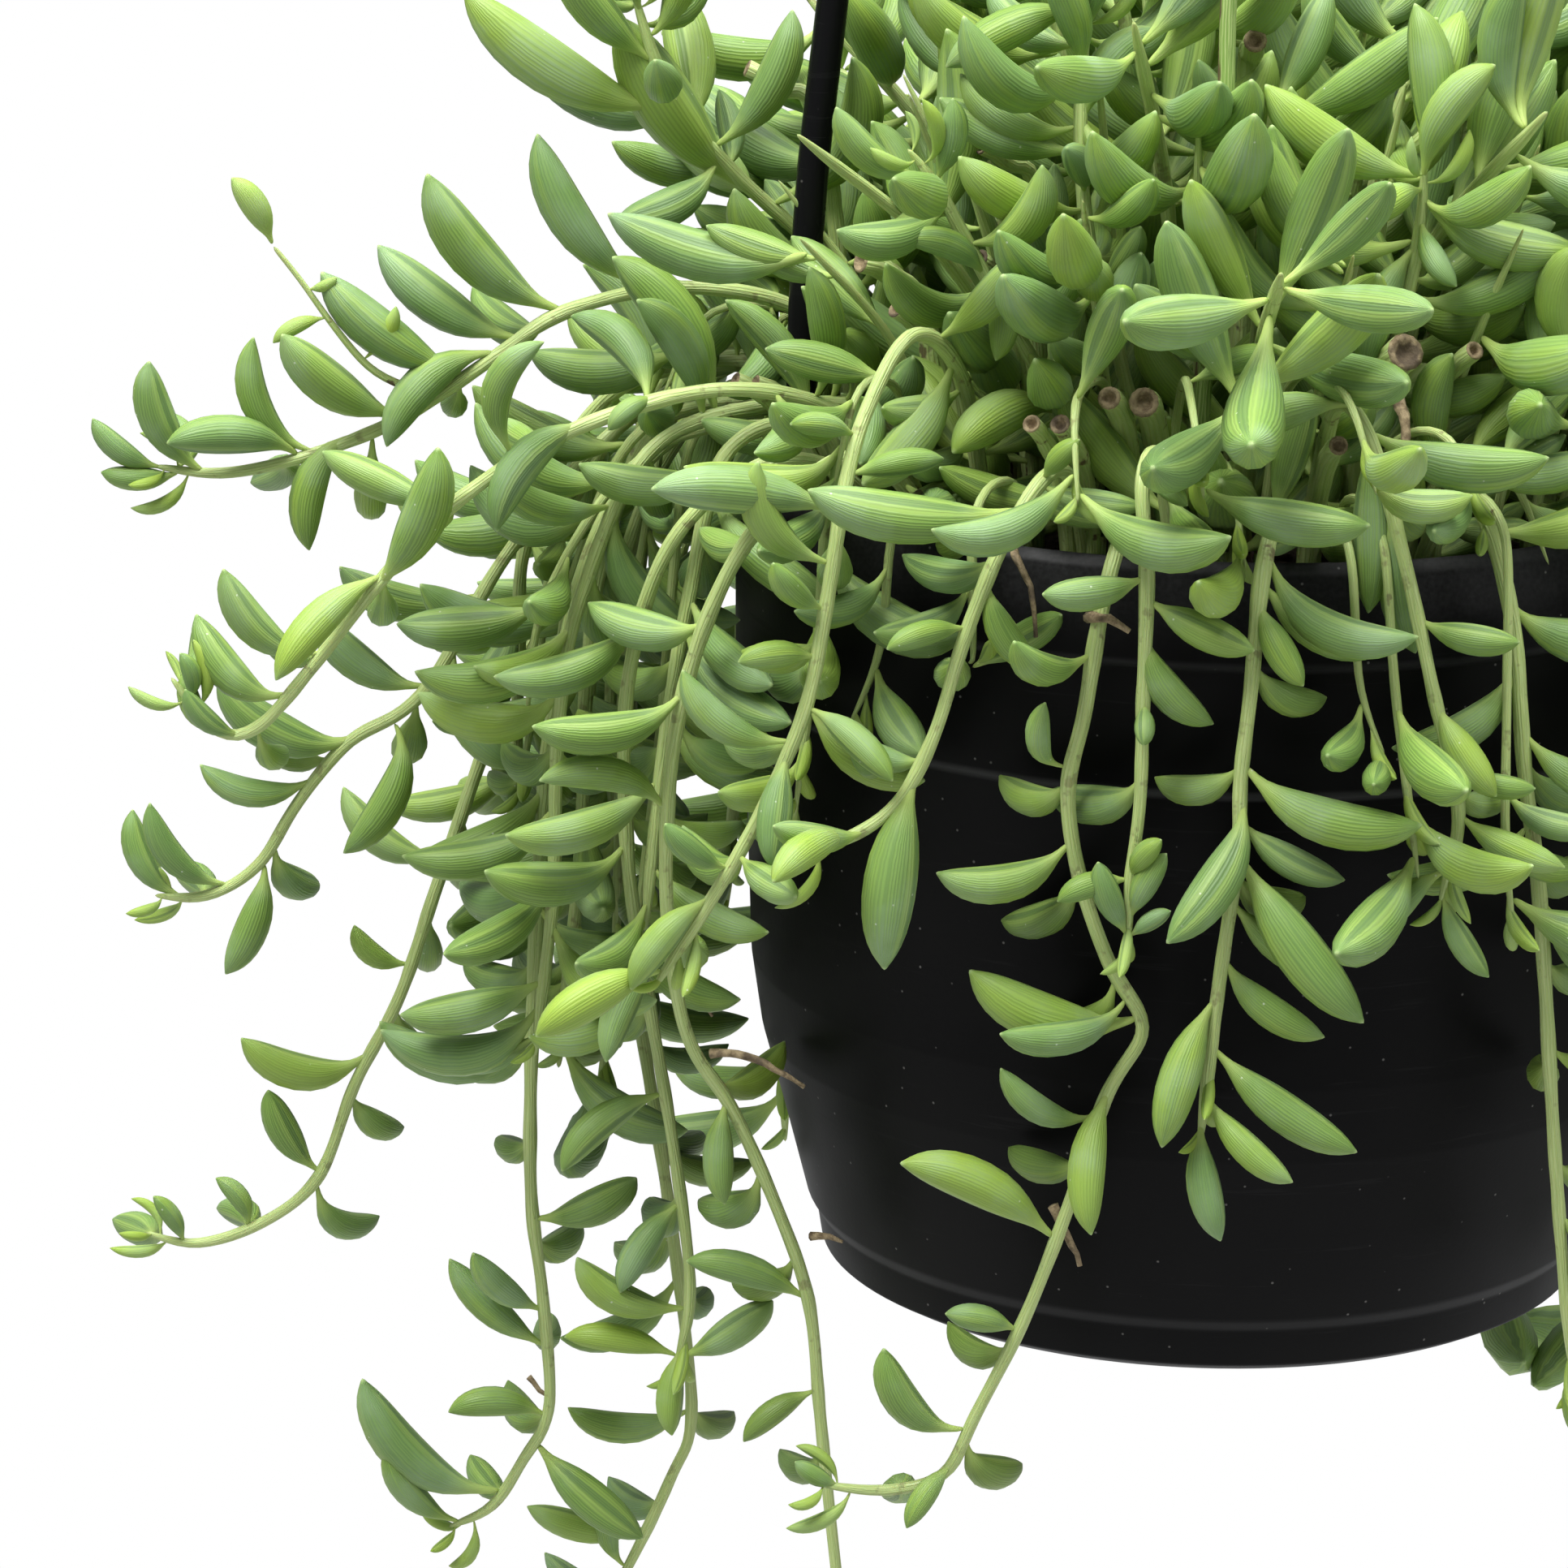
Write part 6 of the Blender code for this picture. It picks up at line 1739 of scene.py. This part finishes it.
class PLANT_OT_finishes(bpy.types.Operator):
    """Makes the materials that the pieces share"""

    bl_idname = "plant.finishes"
    bl_label = "Finishes"

    def execute(self, context):
        colours = context.scene.plant_colours
        streak_group()
        dust_group()
        leaf_material(colours)
        stem_material(colours)
        stalk_material(colours)
        dry_material(colours)
        plastic_material("satin_black_plastic", colours.pot, 0.42, 0.6, POT_EDGES)
        plastic_material("gloss_black_plastic", colours.hanger, 0.25, 0.3)
        soil_material(colours)
        return {"FINISHED"}


class PLANT_OT_pot(bpy.types.Operator):
    """Turns the pot, with its ears and its drain holes"""

    bl_idname = "plant.pot"
    bl_label = "Pot"

    def execute(self, context):
        pot = new_piece("hanging_pot", pot_body(), ["satin_black_plastic"], "pot_plastic", "pot")
        join_solids(pot, [linked_object("lug", lug_body(azimuth)) for azimuth in ARM_AZIMUTHS], "UNION")
        cutters = []
        up = Vector((0, 0, 8))
        for i in range(DRAIN_COUNT):
            centre = on_circle(DRAIN_CIRCLE, 360 * (i + 0.5) / DRAIN_COUNT, 0)
            cutters.append(linked_object("drain", rod_body(centre - up, centre + up, DRAIN_RADIUS, 28)))
        for azimuth in ARM_AZIMUTHS:
            low = on_circle(ARM_STATIONS[2][0], azimuth, LUG_BOTTOM - 3)
            high = on_circle(ARM_STATIONS[2][0], azimuth, LUG_TOP + 3)
            cutters.append(linked_object("lug_hole", rod_body(low, high, LUG_HOLE_RADIUS, 20)))
        join_solids(pot, cutters, "DIFFERENCE")
        sharpen(pot, 32)
        return {"FINISHED"}


class PLANT_OT_soil(bpy.types.Operator):
    """Fills the pot with crumbly soil"""

    bl_idname = "plant.soil"
    bl_label = "Soil"

    def execute(self, context):
        sharpen(new_piece("soil_crumbs", soil_body(), ["potting_soil"], "soil", "soil"), 50)
        return {"FINISHED"}


class PLANT_OT_hanger(bpy.types.Operator):
    """Makes the two arms and the hook with its hub"""

    bl_idname = "plant.hanger"
    bl_label = "Hanger"

    def execute(self, context):
        finish = ["gloss_black_plastic"]
        for name, azimuth in zip(("hanger_arm_left", "hanger_arm_right"), ARM_AZIMUTHS):
            sharpen(new_piece(name + "_rod", arm_body(azimuth), finish, "hanger_plastic", name), 40)
        hook = new_piece("hook_and_hub", hub_body(), finish, "hanger_plastic", "hanger_hook")
        join_solids(hook, [linked_object("bend", bend_body())], "UNION")
        sockets = []
        for azimuth in ARM_AZIMUTHS:
            (low, _), (high, thick) = arm_stations(azimuth)[-2:]
            along = (high - low).normalized()
            rod = rod_body(high - along * 16, high + along * GAP, thick + SOCKET_ROOM, 20)
            sockets.append(linked_object("socket", rod))
        join_solids(hook, sockets, "DIFFERENCE")
        sharpen(hook, 35)
        return {"FINISHED"}


class PLANT_OT_plant(bpy.types.Operator):
    """Grows every stem with its leaves"""

    bl_idname = "plant.plant"
    bl_label = "Plant"

    def execute(self, context):
        sizes = context.scene.plant_sizes
        layout = fuller_layout(sizes)
        rng = random.Random(SEED + 21)
        give_traits(layout, rng)
        pattern = leaf_pattern()
        fill = defaultdict(bmesh.new)
        for name, (route, leaves) in layout.items():
            if name.startswith("fill"):
                body = stem_body(route, leaves, pattern, FILL_PLUMPNESS * sizes.plump, rng, *FILL_STEM)
                add_part(fill[fill_piece(name, route)], body)
                continue
            plump = sizes.plump * (1.0 if name.startswith("stem") else SHOOT_PLUMPNESS)
            body = stem_body(route, leaves, pattern, plump, rng)
            piece = new_piece("leafy_" + name, body, LEAFY_FINISHES, "leaf", name)
            if name in DRAWN_STEMS or name.startswith(("stem_left", "shoot")):
                subdivide(piece)
        for name, body in fill.items():
            subdivide(new_piece(name, body, LEAFY_FINISHES, "leaf"))
        bpy.data.meshes.remove(pattern)
        return {"FINISHED"}


class PLANT_OT_details(bpy.types.Operator):
    """Adds the cut stems, the flower stalk, the thin sprout and the dry roots"""

    bl_idname = "plant.details"
    bl_label = "Cut stems and roots"

    def execute(self, context):
        rng = random.Random(SEED + 90)
        finishes = [*LEAFY_FINISHES, "dry_wood"]
        new_piece("cut_stems", cut_stems_body(rng), finishes, "leaf")
        new_piece("dry_roots", dry_roots_body(rng), finishes, "leaf")
        stalk = tapered_stem(FLOWER_STALK, (1.5, 1.15))
        new_piece("flower_stalk", stalk, ["waxy_leaf", "stalk_skin"], "leaf")
        subdivide(new_piece("thin_sprout", thin_sprout_body(), LEAFY_FINISHES, "leaf"))
        return {"FINISHED"}


class PLANT_OT_studio(bpy.types.Operator):
    """Sets up the pale floor, the soft lights and the camera"""

    bl_idname = "plant.studio"
    bl_label = "Studio"

    def execute(self, context):
        studio = context.scene.plant_studio
        lay_floor(studio.backdrop)
        fill_air(context.scene, studio.backdrop)
        context.scene.view_settings.view_transform = "Standard"
        hang_light(context.scene, "key", studio.key_power, 1.1, KEY_PLACE)
        hang_light(context.scene, "fill", studio.fill_power, 1.4, FILL_PLACE)
        hang_light(context.scene, "top", TOP_SHARE * studio.key_power, 1.4, TOP_PLACE)
        set_camera(context.scene)
        return {"FINISHED"}


STEPS = (
    PLANT_OT_finishes, PLANT_OT_pot, PLANT_OT_soil, PLANT_OT_hanger, PLANT_OT_plant, PLANT_OT_details,
    PLANT_OT_studio,
)
GROUPS = {"plant_sizes": PlantSizes, "plant_colours": PlantColours, "plant_studio": StudioSettings}


class PLANT_PT_panel(bpy.types.Panel):
    """Lists the steps that dress the plant"""

    bl_idname = "PLANT_PT_panel"
    bl_label = "Potted string of bananas"
    bl_space_type = "VIEW_3D"
    bl_region_type = "UI"
    bl_category = "Plant"

    def draw(self, context):
        for step in STEPS:
            self.layout.operator(step.bl_idname)
        for group, owner in GROUPS.items():
            box = self.layout.box()
            for key in owner.__annotations__:
                box.prop(getattr(context.scene, group), key)


def register():
    for owner in (*GROUPS.values(), *STEPS, PLANT_PT_panel):
        bpy.utils.register_class(owner)
    for name, owner in GROUPS.items():
        setattr(bpy.types.Scene, name, PointerProperty(type=owner))


def unregister():
    for name in GROUPS:
        delattr(bpy.types.Scene, name)
    for owner in (PLANT_PT_panel, *reversed(STEPS), *reversed(list(GROUPS.values()))):
        bpy.utils.unregister_class(owner)


def main():
    register()
    bpy.ops.plant.finishes()
    bpy.ops.plant.pot()
    bpy.ops.plant.soil()
    bpy.ops.plant.hanger()
    bpy.ops.plant.plant()
    bpy.ops.plant.details()
    bpy.ops.plant.studio()


if __name__ == "__main__":
    main()
